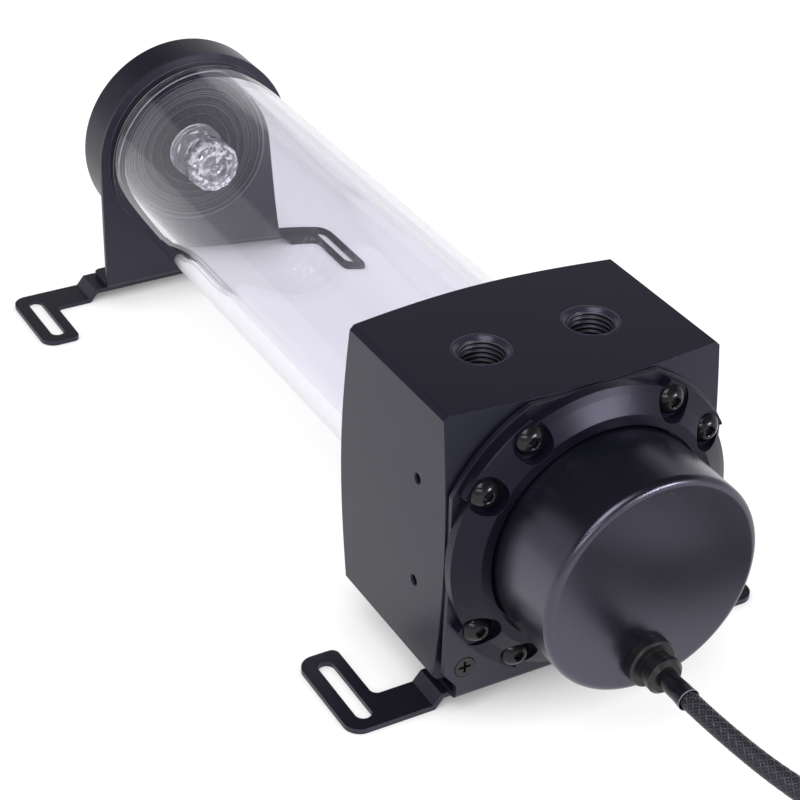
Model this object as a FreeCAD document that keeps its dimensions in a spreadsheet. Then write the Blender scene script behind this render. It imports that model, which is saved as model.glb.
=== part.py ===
"""Coolant pump reservoir: a pump block with a glass tube, an end cap, two sheet brackets and a pump motor.

Frame: +X points from the end cap to the pump, +Z up. The origin lies on the floor, midway between the four
slots of the feet. Lengths are millimetres.
"""
import FreeCAD, Part
import math
import os

import Sketcher

Vector = FreeCAD.Vector
DOC = FreeCAD.newDocument("coolant_pump_reservoir")
SHEET = DOC.addObject("Spreadsheet::Sheet", "Sizes")

DRIVING = {
    # block that holds the tube and the pump
    "block_width": 77.0,
    "block_length": 52.5,
    "corner_drop_front": 3.0,
    "corner_drop_rear": 3.8,
    "edge_chamfer": 1.2,
    "axis_height": 47.8,
    # ports and tapped holes
    "port_spacing": 31.1,
    "port_setback": 24.9,
    "port_radius": 5.9,
    "port_depth": 10.5,
    "port_mouth_radius": 7.5,
    "inlet_bore_radius": 4.5,
    "outlet_bore_radius": 3.0,
    "side_hole_spacing": 30.0,
    "side_hole_setback": 13.8,
    "side_hole_radius": 1.25,
    "side_hole_depth": 8.0,
    "side_hole_mouth": 0.35,
    "hole_bottom_margin": 1.0,
    # pump chamber and reservoir chamber inside the block
    "volute_radius": 22.0,
    "volute_depth": 12.0,
    "eye_radius": 10.0,
    "eye_wall": 7.0,
    "chamber_radius": 22.0,
    # glass tube
    "tube_radius": 30.0,
    "tube_wall": 5.0,
    "tube_length": 186.0,
    "seat_depth": 12.0,
    "seat_clearance": 0.15,
    "oring_groove_depth": 1.9,
    "oring_groove_width": 2.6,
    "oring_clearance": 0.06,
    "oring_setback": 5.2,
    # end cap and light plug
    "cap_radius": 32.5,
    "cap_thickness": 13.0,
    "cap_edge": 1.0,
    "spigot_clearance": 0.12,
    "spigot_depth": 3.5,
    "cap_groove_depth": 1.6,
    "cap_groove_width": 1.9,
    "cap_groove_setback": 0.8,
    "plug_hole_radius": 6.58,
    "cap_step_radius": 12.0,
    "cap_step_depth": 0.5,
    "plug_seal_depth": 1.3,
    "plug_seal_margin": 0.4,
    "plug_flange_radius": 8.7,
    "plug_flange_thickness": 2.5,
    "plug_hex_flats": 13.0,
    "plug_hex_length": 4.0,
    "plug_neck_radius": 6.6,
    "plug_neck_length": 2.0,
    "plug_knob_radius": 8.4,
    "plug_knob_length": 7.5,
    "plug_knob_edge": 1.4,
    "plug_facet_depth": 0.35,
    "plug_facet_width": 4.2,
    "plug_dimple": 2.0,
    "plug_shank_length": 11.0,
    "plug_shank_clearance": 0.08,
    "lamp_bore_radius": 2.6,
    "lamp_bore_depth": 19.0,
    # sheet brackets and foot strips
    "sheet": 1.5,
    "bend_radius": 2.0,
    "front_side_setback": 0.5,
    "front_top_setback": 0.2,
    "front_corner_reach": 3.7,
    "front_foot_half_width": 34.3,
    "front_shoulder_drop": 34.0,
    "front_shoulder_cut": 4.8,
    "flange_depth": 12.2,
    "front_strip_setback": 3.8,
    "rear_strip_setback": 2.0,
    "strip_width": 10.6,
    "joggle_inner": 36.0,
    "joggle_outer": 38.4,
    "joggle_drop": 2.9,
    "pad_inner_reach": 5.5,
    "pad_outer_reach": 6.1,
    "pad_length": 31.0,
    "pad_corner_radius": 4.5,
    "strip_inner_radius": 2.0,
    "slot_spacing": 110.0,
    "slot_length": 24.0,
    "slot_width": 4.4,
    "plate_edge": 0.3,
    # clamp ring and its screws
    "ring_radius": 39.2,
    "ring_wall": 2.7,
    "ring_height": 6.3,
    "ring_crease_radius": 37.3,
    "ring_crease_height": 3.9,
    "ring_land_radius": 33.0,
    "ring_bore_clearance": 0.65,
    "lobe_reach": 4.5,
    "lobe_edge": 0.3,
    "lobe_inner_radius": 36.0,
    "lobe_inner_height": 4.35,
    "counterbore_radius": 4.85,
    "counterbore_floor": 2.8,
    "bolt_circle_radius": 36.8,
    "bolt_radius": 2.0,
    "bolt_length": 12.0,
    "bolt_clearance": 0.1,
    "bolt_head_radius": 3.8,
    "bolt_head_height": 2.2,
    "bolt_crown": 1.2,
    "bolt_socket_flats": 2.5,
    "bolt_socket_depth": 1.3,
    "bracket_screw_side": 32.1,
    "bracket_screw_drop": 33.5,
    "bracket_screw_radius": 1.5,
    "bracket_screw_head_radius": 2.75,
    "bracket_screw_length": 10.0,
    "bracket_screw_clearance": 0.1,
    "sink_margin": 0.25,
    "recess_arm": 1.7,
    "recess_half_width": 0.36,
    # pump motor
    "can_radius": 29.55,
    "can_wall": 1.5,
    "can_length": 29.4,
    "can_edge_radius": 2.0,
    "can_inner_edge": 0.9,
    "motor_flange_radius": 33.3,
    "motor_flange": 1.4,
    "recess_clearance": 0.3,
    "cup_sheet": 0.6,
    "cup_flange_radius": 31.5,
    "cup_radius": 18.6,
    "cup_centre": 1.0,
    "pot_radius": 27.6,
    "pot_wall": 1.6,
    "pot_length": 25.0,
    "pot_floor": 2.0,
    "pump_oring_radius": 28.9,
    "pump_oring_width": 2.4,
    "pump_oring_depth": 1.6,
    "ball_radius": 3.2,
    "ball_clearance": 0.05,
    "post_radius": 1.6,
    "post_clearance": 0.15,
    "ball_face": 0.05,
    "rotor_gap": 0.7,
    "magnet_thickness": 3.3,
    "magnet_clearance": 0.05,
    "magnet_end": 11.5,
    "impeller_radius": 19.0,
    "impeller_disc": 2.2,
    "impeller_setback": 0.8,
    "waist_clearance": 0.3,
    "bowl_end": 10.8,
    "bowl_mouth_radius": 5.5,
    "nose_length": 4.5,
    "nose_radius": 1.6,
    "nose_base_radius": 6.5,
    "vane_height": 6.0,
    "vane_thickness": 1.5,
    "shroud_thickness": 1.5,
    "impeller_eye_radius": 8.0,
    "neck_wall": 1.5,
    "neck_length": 2.6,
    "stator_radius": 25.7,
    "stator_ring_width": 3.2,
    "stator_start": 5.0,
    "stator_length": 12.0,
    "tooth_width": 5.5,
    "tooth_gap": 0.4,
    "tooth_root": 0.4,
    "coil_thickness": 2.0,
    "coil_margin": 2.5,
    "coil_front_margin": 1.75,
    "coil_setback": 1.0,
    "coil_fit": 0.1,
    "board_radius": 25.6,
    "board_thickness": 1.6,
    "board_start": 21.0,
    "capacitor_radius": 2.6,
    "capacitor_height": 4.2,
    "capacitor_circle": 15.0,
    # cable, its gland and its connector
    "cable_radius": 2.45,
    "gland_drop": 21.0,
    "gland_base_radius": 6.5,
    "gland_base_thickness": 2.8,
    "gland_body_radius": 4.9,
    "gland_length": 8.4,
    "gland_stub_radius": 4.0,
    "gland_stub_clearance": 0.1,
    "gland_lip_radius": 5.2,
    "gland_lip_thickness": 0.9,
    "gland_edge": 1.0,
    "gland_rib": 0.5,
    "sleeve_radius": 2.65,
    "sleeve_length": 8.6,
    "sleeve_clearance": 0.05,
    "floor_clearance": 0.05,
    "coil_radius": 27.5,
    "coil_turns": 3.45,
    "turn_pitch": 4.95,
    "coil_tail": 24.0,
    "coil_lead": 18.0,
    "coil_margin_outside": 0.15,
    "connector_width": 10.4,
    "connector_height": 6.2,
    "connector_length": 14.0,
    "connector_edge": 0.6,
    "key_height": 1.0,
    "key_width": 1.27,
    "key_setback": 0.5,
    "contact_pitch": 2.54,
    "contact_opening": 2.2,
    "contact_depth": 8.0,
}

CORNERS = 4
SIDES = 6
POLES = 6
VANES = 6
CONTACTS = 4
CAPACITORS = 3
BOLT_OFFSET_DEG = 12.7
LOBE_HALF_DEG = 17.0
VANE_SWEEP_DEG = 62.0
VANE_ROOT_DEG = 11.0
VANE_TIP_DEG = 5.0
VANE_BOW = 0.55
JOGGLE_SHIFT = 0.4
DRILL_HALF_DEG = 59.0
SINK_DEG = 44.0
FAR = 60.0
# how far a cut runs past the face that it opens
PAST = 1.0


class Size:
    """A length that carries both its number and the sheet expression that drives it."""

    def __init__(self, number, text):
        self.number = number
        self.text = text

    def __float__(self):
        return float(self.number)

    def _with(self, other, sign, number):
        return Size(number, f"({self.text} {sign} {text_of(other)})")

    def __add__(self, other):
        return self._with(other, "+", self.number + float(other))

    def __sub__(self, other):
        return self._with(other, "-", self.number - float(other))

    def __mul__(self, other):
        return self._with(other, "*", self.number * float(other))

    def __truediv__(self, other):
        return self._with(other, "/", self.number / float(other))

    def __radd__(self, other):
        return self + other

    def __rmul__(self, other):
        return self * other

    def __rsub__(self, other):
        return Size(float(other) - self.number, f"({text_of(other)} - {self.text})")

    def __neg__(self):
        return Size(-self.number, f"(-1 * {self.text})")


def text_of(value):
    """Expression text of a Size or a plain number."""
    return value.text if isinstance(value, Size) else f"{float(value):.9f}"


def leg(hypotenuse, side):
    """Other leg of a right triangle."""
    number = math.sqrt(float(hypotenuse) ** 2 - float(side) ** 2)
    return Size(number, f"sqrt({text_of(hypotenuse)} ^ 2 - {text_of(side)} ^ 2)")


def polar(radius, degrees):
    """Point at a radius and an angle."""
    turn = math.radians(degrees)
    return radius * math.cos(turn), radius * math.sin(turn)


def fill_sheet():
    """Writes each driving size as a plain number with its alias."""
    for row, (alias, number) in enumerate(DRIVING.items(), start=1):
        SHEET.set(f"A{row}", alias)
        SHEET.set(f"B{row}", str(number))
        SHEET.setAlias(f"B{row}", alias)
    DOC.recompute()


class Sizes:
    """Named access to the sheet's cells."""

    def __getattr__(self, alias):
        return Size(float(SHEET.get(alias)), f"Sizes.{alias}")


S = Sizes()


def bind(item, name, value):
    """Sets a property and ties it to the sheet."""
    item.setExpression(name, text_of(value))


def new_body(label, x=0.0, y=0.0, z=0.0):
    """Body with its own placement, tied to the sheet."""
    body = DOC.addObject("PartDesign::Body", label)
    body.Label = label
    body.AllowCompound = True
    for axis, value in (("x", x), ("y", y), ("z", z)):
        bind(body, f"Placement.Base.{axis}", value)
    return body


def plane_of(body, role):
    """Origin plane or axis of a body by its role."""
    return next(item for item in body.Origin.OriginFeatures if item.Role == role)


def new_sketch(body, role, name, lift=0.0):
    """Sketch on one of the body's origin planes, lifted along the plane's normal."""
    sketch = body.newObject("Sketcher::SketchObject", name)
    sketch.AttachmentSupport = [(plane_of(body, role), "")]
    sketch.MapMode = "FlatFace"
    bind(sketch, "AttachmentOffset.Base.z", lift)
    return sketch


def hold(sketch, geometry, point, place, axes="XY"):
    """Holds a point of the sketch at its distances from the sketch's origin."""
    for axis, value in zip("XY", place):
        if axis in axes:
            item = Sketcher.Constraint(f"Distance{axis}", -1, 1, geometry, point, float(value))
            number = sketch.addConstraint(item)
            bind(sketch, f"Constraints[{number}]", value)


def outline(sketch, corners):
    """Closed outline through corners (x, y). A third item is the centre of the arc that leads on to the next
    corner, and a fourth, True, makes that arc run clockwise."""
    first = sketch.GeometryCount
    ends = []
    for index, corner in enumerate(corners):
        following = corners[(index + 1) % len(corners)]
        a = Vector(float(corner[0]), float(corner[1]), 0)
        b = Vector(float(following[0]), float(following[1]), 0)
        if len(corner) == 2:
            sketch.addGeometry(Part.LineSegment(a, b))
            ends.append((1, 2))
            continue
        clockwise = len(corner) > 3 and corner[3]
        centre = Vector(float(corner[2][0]), float(corner[2][1]), 0)
        start, stop = (b, a) if clockwise else (a, b)
        circle = Part.Circle(centre, Vector(0, 0, 1), (a - centre).Length)
        low = math.atan2(start.y - centre.y, start.x - centre.x)
        high = math.atan2(stop.y - centre.y, stop.x - centre.x)
        high += 2 * math.pi if high <= low else 0
        sketch.addGeometry(Part.ArcOfCircle(circle, low, high))
        ends.append((2, 1) if clockwise else (1, 2))
    for index in range(len(corners)):
        after = (index + 1) % len(corners)
        sketch.addConstraint(
            Sketcher.Constraint("Coincident", first + index, ends[index][1], first + after, ends[after][0])
        )
    for index, corner in enumerate(corners):
        hold(sketch, first + index, ends[index][0], corner[:2])
        if len(corner) > 2:
            following = corners[(index + 1) % len(corners)]
            wide = abs(float(following[0]) - float(corner[0])) > abs(float(following[1]) - float(corner[1]))
            hold(sketch, first + index, 3, corner[2], "Y" if wide else "X")


def circle(sketch, centre, radius):
    """Circle held at its centre and radius."""
    place = Vector(float(centre[0]), float(centre[1]), 0)
    geometry = sketch.addGeometry(Part.Circle(place, Vector(0, 0, 1), float(radius)))
    hold(sketch, geometry, 3, centre)
    number = sketch.addConstraint(Sketcher.Constraint("Radius", geometry, float(radius)))
    bind(sketch, f"Constraints[{number}]", radius)


def revolve(body, name, corners, cut=False):
    """Full turn of a closed outline (x, r) about the body's X axis."""
    sketch = new_sketch(body, "XZ_Plane", f"{name}_outline")
    outline(sketch, corners)
    feature = body.newObject("PartDesign::Groove" if cut else "PartDesign::Revolution", name)
    feature.Profile = sketch
    feature.ReferenceAxis = (sketch, ["H_Axis"])
    feature.Angle = 360.0
    body.Tip = feature
    return feature


def prism(body, name, role, lift, length, draw, cut=False, back=False):
    """Pad or pocket of what draw puts on the sketch, from the lifted plane along the plane's normal."""
    sketch = new_sketch(body, role, f"{name}_outline", lift)
    draw(sketch)
    feature = body.newObject("PartDesign::Pocket" if cut else "PartDesign::Pad", name)
    feature.Profile = sketch
    feature.Type = 0
    bind(feature, "Length", length)
    feature.Reversed = bool(back) != bool(cut)
    body.Tip = feature
    return feature


def circles(places, radius):
    """Drawing function for circles at places."""
    return lambda sketch: [circle(sketch, place, radius) for place in places]


def polygon(corners):
    """Drawing function for one outline."""
    return lambda sketch: outline(sketch, corners)


def around(body, name, originals, count):
    """Polar pattern about the body's X axis."""
    pattern = body.newObject("PartDesign::PolarPattern", name)
    pattern.Originals = originals
    pattern.Axis = (plane_of(body, "X_Axis"), [""])
    pattern.Angle = 360.0
    pattern.Occurrences = count
    body.Tip = pattern
    return pattern


def edges(body, keep):
    """Names of the edges of the body's present shape whose ends and middle satisfy keep."""
    DOC.recompute()
    shape = body.Tip.Shape
    names = []
    for number, edge in enumerate(shape.Edges, start=1):
        points = [vertex.Point for vertex in edge.Vertexes]
        points.append(edge.valueAt((edge.FirstParameter + edge.LastParameter) / 2))
        if all(keep(point) for point in points):
            names.append(f"Edge{number}")
    return names


def ease(body, name, kind, size, keep):
    """Chamfer or fillet on the edges that keep picks."""
    names = edges(body, keep)
    base = body.Tip
    feature = body.newObject(f"PartDesign::{kind}", name)
    feature.Base = (base, names)
    bind(feature, "Size" if kind == "Chamfer" else "Radius", size)
    body.Tip = feature
    return feature


def near(value, target, margin=0.02):
    """True when two lengths agree."""
    return abs(float(value) - float(target)) < margin


def radius_of(point):
    """Distance from the body's X axis."""
    return math.hypot(point.y, point.z)


fill_sheet()

# places along the object, from the stack of pieces that share each face
TUBE_END_FROM_FACE = S.block_length - S.seat_depth + S.tube_length
FRONT_SLOT_FROM_FACE = S.front_strip_setback - S.sheet + S.pad_length / 2
REAR_SLOT_BEFORE_TUBE_END = S.pad_length / 2 - S.rear_strip_setback - S.strip_width
SLOT_SPAN = TUBE_END_FROM_FACE - REAR_SLOT_BEFORE_TUBE_END - FRONT_SLOT_FROM_FACE
BLOCK_FACE = SLOT_SPAN / 2 + FRONT_SLOT_FROM_FACE
TUBE_END = BLOCK_FACE - TUBE_END_FROM_FACE
FLOOR_TO_FLANGE = S.sheet + S.joggle_drop
FLANGE_DROP = S.axis_height - FLOOR_TO_FLANGE
HALF_BLOCK = S.block_width / 2
BORE = S.tube_radius - S.tube_wall
PAD_INNER = S.slot_spacing / 2 - S.pad_inner_reach
PAD_OUTER = S.slot_spacing / 2 + S.pad_outer_reach


def bolt_places(radius):
    """The eight places on a circle, a pair beside each diagonal."""
    places = []
    for corner in range(CORNERS):
        diagonal = 45.0 + 90.0 * corner
        places += [polar(radius, diagonal - BOLT_OFFSET_DEG), polar(radius, diagonal + BOLT_OFFSET_DEG)]
    return places


def pump_block():
    """Square block. Its faces fall away as cones towards the corners."""
    body = new_body("pump_block", x=BLOCK_FACE, z=S.axis_height)
    h = HALF_BLOCK
    square = [(-h, -h), (h, -h), (h, h), (-h, h)]
    prism(body, "block", "YZ_Plane", 0, S.block_length, polygon(square), back=True)
    corner = h * math.sqrt(2)
    reach = (FAR - h) / (corner - h)
    drop = S.corner_drop_front * reach
    revolve(body, "front_cone", [(0, h), (-drop, FAR), (FAR, FAR), (FAR, h)], cut=True)
    rise = S.corner_drop_rear * reach
    back = -S.block_length
    revolve(body, "rear_cone", [(back, h), (back - FAR, h), (back - FAR, FAR), (back + rise, FAR)], cut=True)
    long_edge = lambda p: near(abs(p.y), h) and near(abs(p.z), h)
    ease(body, "long_edges", "Chamfer", S.edge_chamfer, long_edge)
    eye = -S.volute_depth - S.eye_wall
    seat = back + S.seat_depth
    seat_r = S.tube_radius + S.seat_clearance
    groove_r = seat_r + S.oring_groove_depth
    groove_a = back + S.oring_setback
    groove_b = groove_a + S.oring_groove_width
    bores = [
        (PAST, 0), (PAST, S.volute_radius), (-S.volute_depth, S.volute_radius), (-S.volute_depth, S.eye_radius),
        (eye, S.eye_radius), (eye, S.chamber_radius), (seat, S.chamber_radius), (seat, seat_r),
        (groove_b, seat_r), (groove_b, groove_r), (groove_a, groove_r), (groove_a, seat_r),
        (back - PAST, seat_r), (back - PAST, 0),
    ]
    revolve(body, "bores", bores, cut=True)
    ring_a = S.pump_oring_radius - S.pump_oring_width / 2
    ring_b = S.pump_oring_radius + S.pump_oring_width / 2
    deep = -S.pump_oring_depth
    revolve(body, "face_groove", [(deep, ring_a), (PAST, ring_a), (PAST, ring_b), (deep, ring_b)], cut=True)
    ports(body)
    tapped_holes(body)
    return body


def ports(body):
    """Two top ports: the inlet drops into the chamber, the outlet is fed from the volute by a slanted bore."""
    side = S.port_spacing / 2
    along = -S.port_setback
    top = HALF_BLOCK
    both = [(along, -side), (along, side)]
    prism(body, "port_threads", "XY_Plane", top, S.port_depth, circles(both, S.port_radius), cut=True,
          back=True)
    mouth = S.port_mouth_radius - S.port_radius
    lip = lambda p: near(p.z, top) and near(math.hypot(p.x + S.port_setback.number, abs(p.y) - float(side)),
                                            S.port_radius)
    ease(body, "port_mouths", "Chamfer", mouth, lip)
    floor = top - S.port_depth
    prism(body, "inlet_bore", "XY_Plane", floor + PAST, S.port_depth + S.chamber_radius / 2,
          circles([(along, side)], S.inlet_bore_radius), cut=True, back=True)
    rim = leg(S.volute_radius, side)
    start = Vector(-float(S.volute_depth) / 2, -float(side), float(rim - S.outlet_bore_radius))
    stop = Vector(float(along), -float(side), float(floor) + PAST)
    link = body.newObject("PartDesign::SubtractiveCylinder", "outlet_link")
    bind(link, "Radius", S.outlet_bore_radius)
    link.Height = (stop - start).Length
    link.Placement = FreeCAD.Placement(start, FreeCAD.Rotation(Vector(0, 0, 1), stop - start))
    body.Tip = link


def tapped_holes(body):
    """Holes for the ring's bolts and the bracket's screws in the face, and for accessories in both sides."""
    deep = S.bolt_length - S.counterbore_floor - S.sheet + S.hole_bottom_margin
    prism(body, "ring_holes", "YZ_Plane", 0, deep, circles(bolt_places(S.bolt_circle_radius),
          S.bolt_radius + S.bolt_clearance), cut=True, back=True)
    low = [(side * S.bracket_screw_side, -S.bracket_screw_drop) for side in (-1, 1)]
    prism(body, "bracket_holes", "YZ_Plane", 0, S.bracket_screw_length,
          circles(low, S.bracket_screw_radius + S.bracket_screw_clearance), cut=True, back=True)
    rows = [(-S.side_hole_setback, rise * S.side_hole_spacing / 2) for rise in (-1, 1)]
    for name, lift, back in (("left_holes", HALF_BLOCK, False), ("right_holes", -HALF_BLOCK, True)):
        prism(body, name, "XZ_Plane", lift, S.side_hole_depth, circles(rows, S.side_hole_radius),
              cut=True, back=not back)
        for row, rise in zip(("lower", "upper"), (-1, 1)):
            drill_point(body, f"{name}_{row}_point", -1 if back else 1, rise)
    around_hole = 2 * S.side_hole_radius.number
    mouth = lambda p: near(abs(p.y), HALF_BLOCK) and near(p.x, -S.side_hole_setback, around_hole)
    ease(body, "side_hole_mouths", "Chamfer", S.side_hole_mouth, mouth)


def drill_point(body, name, side, rise):
    """Cone that the drill leaves at the bottom of a side hole."""
    cone = body.newObject("PartDesign::SubtractiveCone", name)
    bind(cone, "Radius1", S.side_hole_radius)
    cone.Radius2 = 0
    bind(cone, "Height", S.side_hole_radius / math.tan(math.radians(DRILL_HALF_DEG)))
    inward = Vector(0, side, 0)
    cone.Placement.Rotation = FreeCAD.Rotation(Vector(0, 0, 1), inward)
    bottom = side * (S.side_hole_depth - HALF_BLOCK)
    for axis, value in (("x", -S.side_hole_setback), ("y", bottom), ("z", rise * S.side_hole_spacing / 2)):
        bind(cone, f"Placement.Base.{axis}", value)
    body.Tip = cone


def reservoir_tube():
    """Glass tube with eased ends."""
    body = new_body("reservoir_tube", x=TUBE_END, z=S.axis_height)
    e = S.plate_edge
    r, length = S.tube_radius, S.tube_length
    revolve(body, "tube", [
        (0, BORE + e), (e, BORE), (length - e, BORE), (length, BORE + e),
        (length, r - e), (length - e, r), (e, r), (0, r - e),
    ])
    return body


def band(label, x, inner, outer, width, ease_by=0.5):
    """Elastic ring of rounded section, between two radii."""
    body = new_body(label, x=x, z=S.axis_height)
    e = (outer - inner) * ease_by * 0.5
    revolve(body, "ring", [
        (e, inner), (width - e, inner), (width, inner + e), (width, outer - e),
        (width - e, outer), (e, outer), (0, outer - e), (0, inner + e),
    ])
    return body


def tube_oring():
    """Seal between the tube and the block."""
    c = S.oring_clearance
    x = BLOCK_FACE - S.block_length + S.oring_setback + c
    outer = S.tube_radius + S.seat_clearance + S.oring_groove_depth - c
    return band("tube_oring", x, S.tube_radius + c, outer, S.oring_groove_width - 2 * c)


def pump_oring():
    """Face seal between the block and the motor."""
    c = S.oring_clearance
    half = S.pump_oring_width / 2 - c
    return band("pump_oring", BLOCK_FACE - S.pump_oring_depth + c, S.pump_oring_radius - half,
                S.pump_oring_radius + half, S.pump_oring_depth - c)


def end_cap():
    """Turned cap with a spigot that enters the tube through the rear bracket."""
    body = new_body("end_cap", x=TUBE_END - S.sheet, z=S.axis_height)
    spigot = BORE - S.spigot_clearance
    face = S.sheet + S.spigot_depth
    groove_a = face - S.cap_groove_width - S.cap_groove_setback
    groove_r = spigot - S.cap_groove_depth
    floor = face - S.cap_step_depth
    seal = floor - S.plug_seal_depth
    seal_r = S.plug_flange_radius - S.plug_seal_margin
    e, c = S.cap_edge, S.plate_edge
    back = -S.cap_thickness
    revolve(body, "cap", [
        (back, S.plug_hole_radius), (back, S.cap_radius - e), (back + e, S.cap_radius), (0, S.cap_radius),
        (0, spigot), (groove_a, spigot), (groove_a, groove_r), (groove_a + S.cap_groove_width, groove_r),
        (groove_a + S.cap_groove_width, spigot), (face - c, spigot), (face, spigot - c),
        (face, S.cap_step_radius), (floor, S.cap_step_radius), (floor, seal_r), (seal, seal_r),
        (seal, S.plug_hole_radius),
    ])
    return body


def cap_oring():
    """Seal between the cap's spigot and the tube."""
    c = S.oring_clearance
    x = TUBE_END + S.spigot_depth - S.cap_groove_width - S.cap_groove_setback + c
    inner = BORE - S.spigot_clearance - S.cap_groove_depth + c
    return band("cap_oring", x, inner, BORE - c, S.cap_groove_width - 2 * c)


def plug_seat():
    """Place along X of the face that the light plug's flange sits on."""
    return TUBE_END + S.spigot_depth - S.cap_step_depth


def light_plug():
    """Clear plug screwed into the cap from inside: flange, hexagon, neck and faceted knob, bored for a lamp."""
    body = new_body("light_plug", x=plug_seat(), z=S.axis_height)
    shank = S.plug_hole_radius - S.plug_shank_clearance
    flange = S.plug_flange_thickness
    hexagon = flange + S.plug_hex_length
    neck = hexagon + S.plug_neck_length
    front = neck + S.plug_knob_length
    bore = S.lamp_bore_depth - S.plug_shank_length
    r, e, k = S.plug_knob_radius, S.cap_edge, S.plug_knob_edge
    core, dimple = S.plug_neck_radius, S.plug_dimple
    revolve(body, "turned", [
        (-S.plug_shank_length, S.lamp_bore_radius), (bore, S.lamp_bore_radius), (bore, 0), (front - e, 0),
        (front - e, dimple), (front, dimple), (front, r - k), (front - k, r), (neck + e, r),
        (neck, r - e), (neck, core), (flange, core), (flange, S.plug_flange_radius),
        (0, S.plug_flange_radius), (0, shank), (e / 2 - S.plug_shank_length, shank),
        (-S.plug_shank_length, shank - e / 2),
    ])
    corner = S.plug_hex_flats / math.sqrt(3)
    hexa = [polar(corner, 60.0 * turn) for turn in range(SIDES)]
    prism(body, "hexagon", "YZ_Plane", flange, S.plug_hex_length, lambda s: (outline(s, hexa),
          circle(s, (0, 0), shank)))
    low = r - S.plug_facet_depth
    facet = [(neck + e, low), (front + PAST, low), (front + PAST, r + PAST), (neck + e, r + PAST)]
    wide = S.plug_facet_width
    cut = prism(body, "facet", "XZ_Plane", -wide / 2, wide, polygon(facet), cut=True, back=True)
    around(body, "facets", [cut], 2 * SIDES)
    return body


def light_plug_seal():
    """Seal under the light plug's flange."""
    c = S.oring_clearance
    depth = S.plug_seal_depth
    outer = S.plug_flange_radius - S.plug_seal_margin - c
    return band("light_plug_oring", plug_seat() - depth + c, S.plug_hole_radius + c, outer, depth - 2 * c)


def bent_flange(body, half_width):
    """Foot of a bracket: the plate turns back at its bottom through a bend."""
    t, r = S.sheet, S.bend_radius
    low = -FLANGE_DROP
    inner = r - t
    depth = S.flange_depth
    section = [
        (0, low + r, (-r, low + r), True), (-r, low), (-depth, low), (-depth, low + t),
        (-r, low + t, (-r, low + r)), (-r + inner, low + r),
    ]
    prism(body, "flange", "XZ_Plane", -half_width, half_width * 2, polygon(section))


def front_bracket():
    """Front plate with rounded upper corners, a large hole for the motor and a flange under the block."""
    body = new_body("front_bracket", x=BLOCK_FACE + S.sheet, z=S.axis_height)
    w, top = HALF_BLOCK - S.front_side_setback, HALF_BLOCK - S.front_top_setback
    R = HALF_BLOCK + S.front_corner_reach
    foot = S.front_foot_half_width
    low = -FLANGE_DROP + S.bend_radius
    y_top = leg(R, top)
    z_side = leg(R, w)
    shoulder = -S.front_shoulder_drop
    cut = shoulder - S.front_shoulder_cut
    corners = [
        (-foot, low), (foot, low), (foot, cut), (w, shoulder), (w, z_side, (0, 0)), (y_top, top),
        (-y_top, top, (0, 0)), (-w, z_side), (-w, shoulder), (-foot, cut),
    ]
    hole = S.motor_flange_radius + S.recess_clearance
    prism(body, "plate", "YZ_Plane", 0, S.sheet, lambda s: (outline(s, corners), circle(s, (0, 0), hole)),
          back=True)
    bent_flange(body, foot)
    flange_corner = lambda p: near(p.x, -S.flange_depth) and near(abs(p.y), foot)
    ease(body, "flange_corners", "Fillet", S.strip_inner_radius, flange_corner)
    prism(body, "ring_bolt_holes", "YZ_Plane", 0, S.sheet + PAST, circles(bolt_places(S.bolt_circle_radius),
          S.bolt_radius + S.bolt_clearance), cut=True, back=True)
    low_places = [(side * S.bracket_screw_side, -S.bracket_screw_drop) for side in (-1, 1)]
    shank = S.bracket_screw_radius + S.bracket_screw_clearance
    prism(body, "screw_holes", "YZ_Plane", 0, S.sheet + PAST, circles(low_places, shank), cut=True, back=True)
    lip = lambda p: near(p.x, 0) and near(math.hypot(abs(p.y) - float(S.bracket_screw_side),
                                                     p.z + float(S.bracket_screw_drop)), shank)
    sink = S.bracket_screw_head_radius - S.bracket_screw_radius + S.sink_margin - S.bracket_screw_clearance
    ease(body, "sinks", "Chamfer", sink, lip)
    return body


def rear_bracket():
    """Rear plate, round at the top about the cap's axis, held between the tube and the cap."""
    body = new_body("rear_bracket", x=TUBE_END, z=S.axis_height)
    w = S.cap_radius
    low = -FLANGE_DROP + S.bend_radius
    corners = [(-w, low), (w, low), (w, 0, (0, 0)), (-w, 0)]
    prism(body, "plate", "YZ_Plane", 0, S.sheet, lambda s: (outline(s, corners), circle(s, (0, 0), BORE)),
          back=True)
    bent_flange(body, w)
    flange_corner = lambda p: near(p.x, -S.flange_depth) and near(abs(p.y), w)
    ease(body, "flange_corners", "Fillet", S.strip_inner_radius, flange_corner)
    return body


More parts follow.
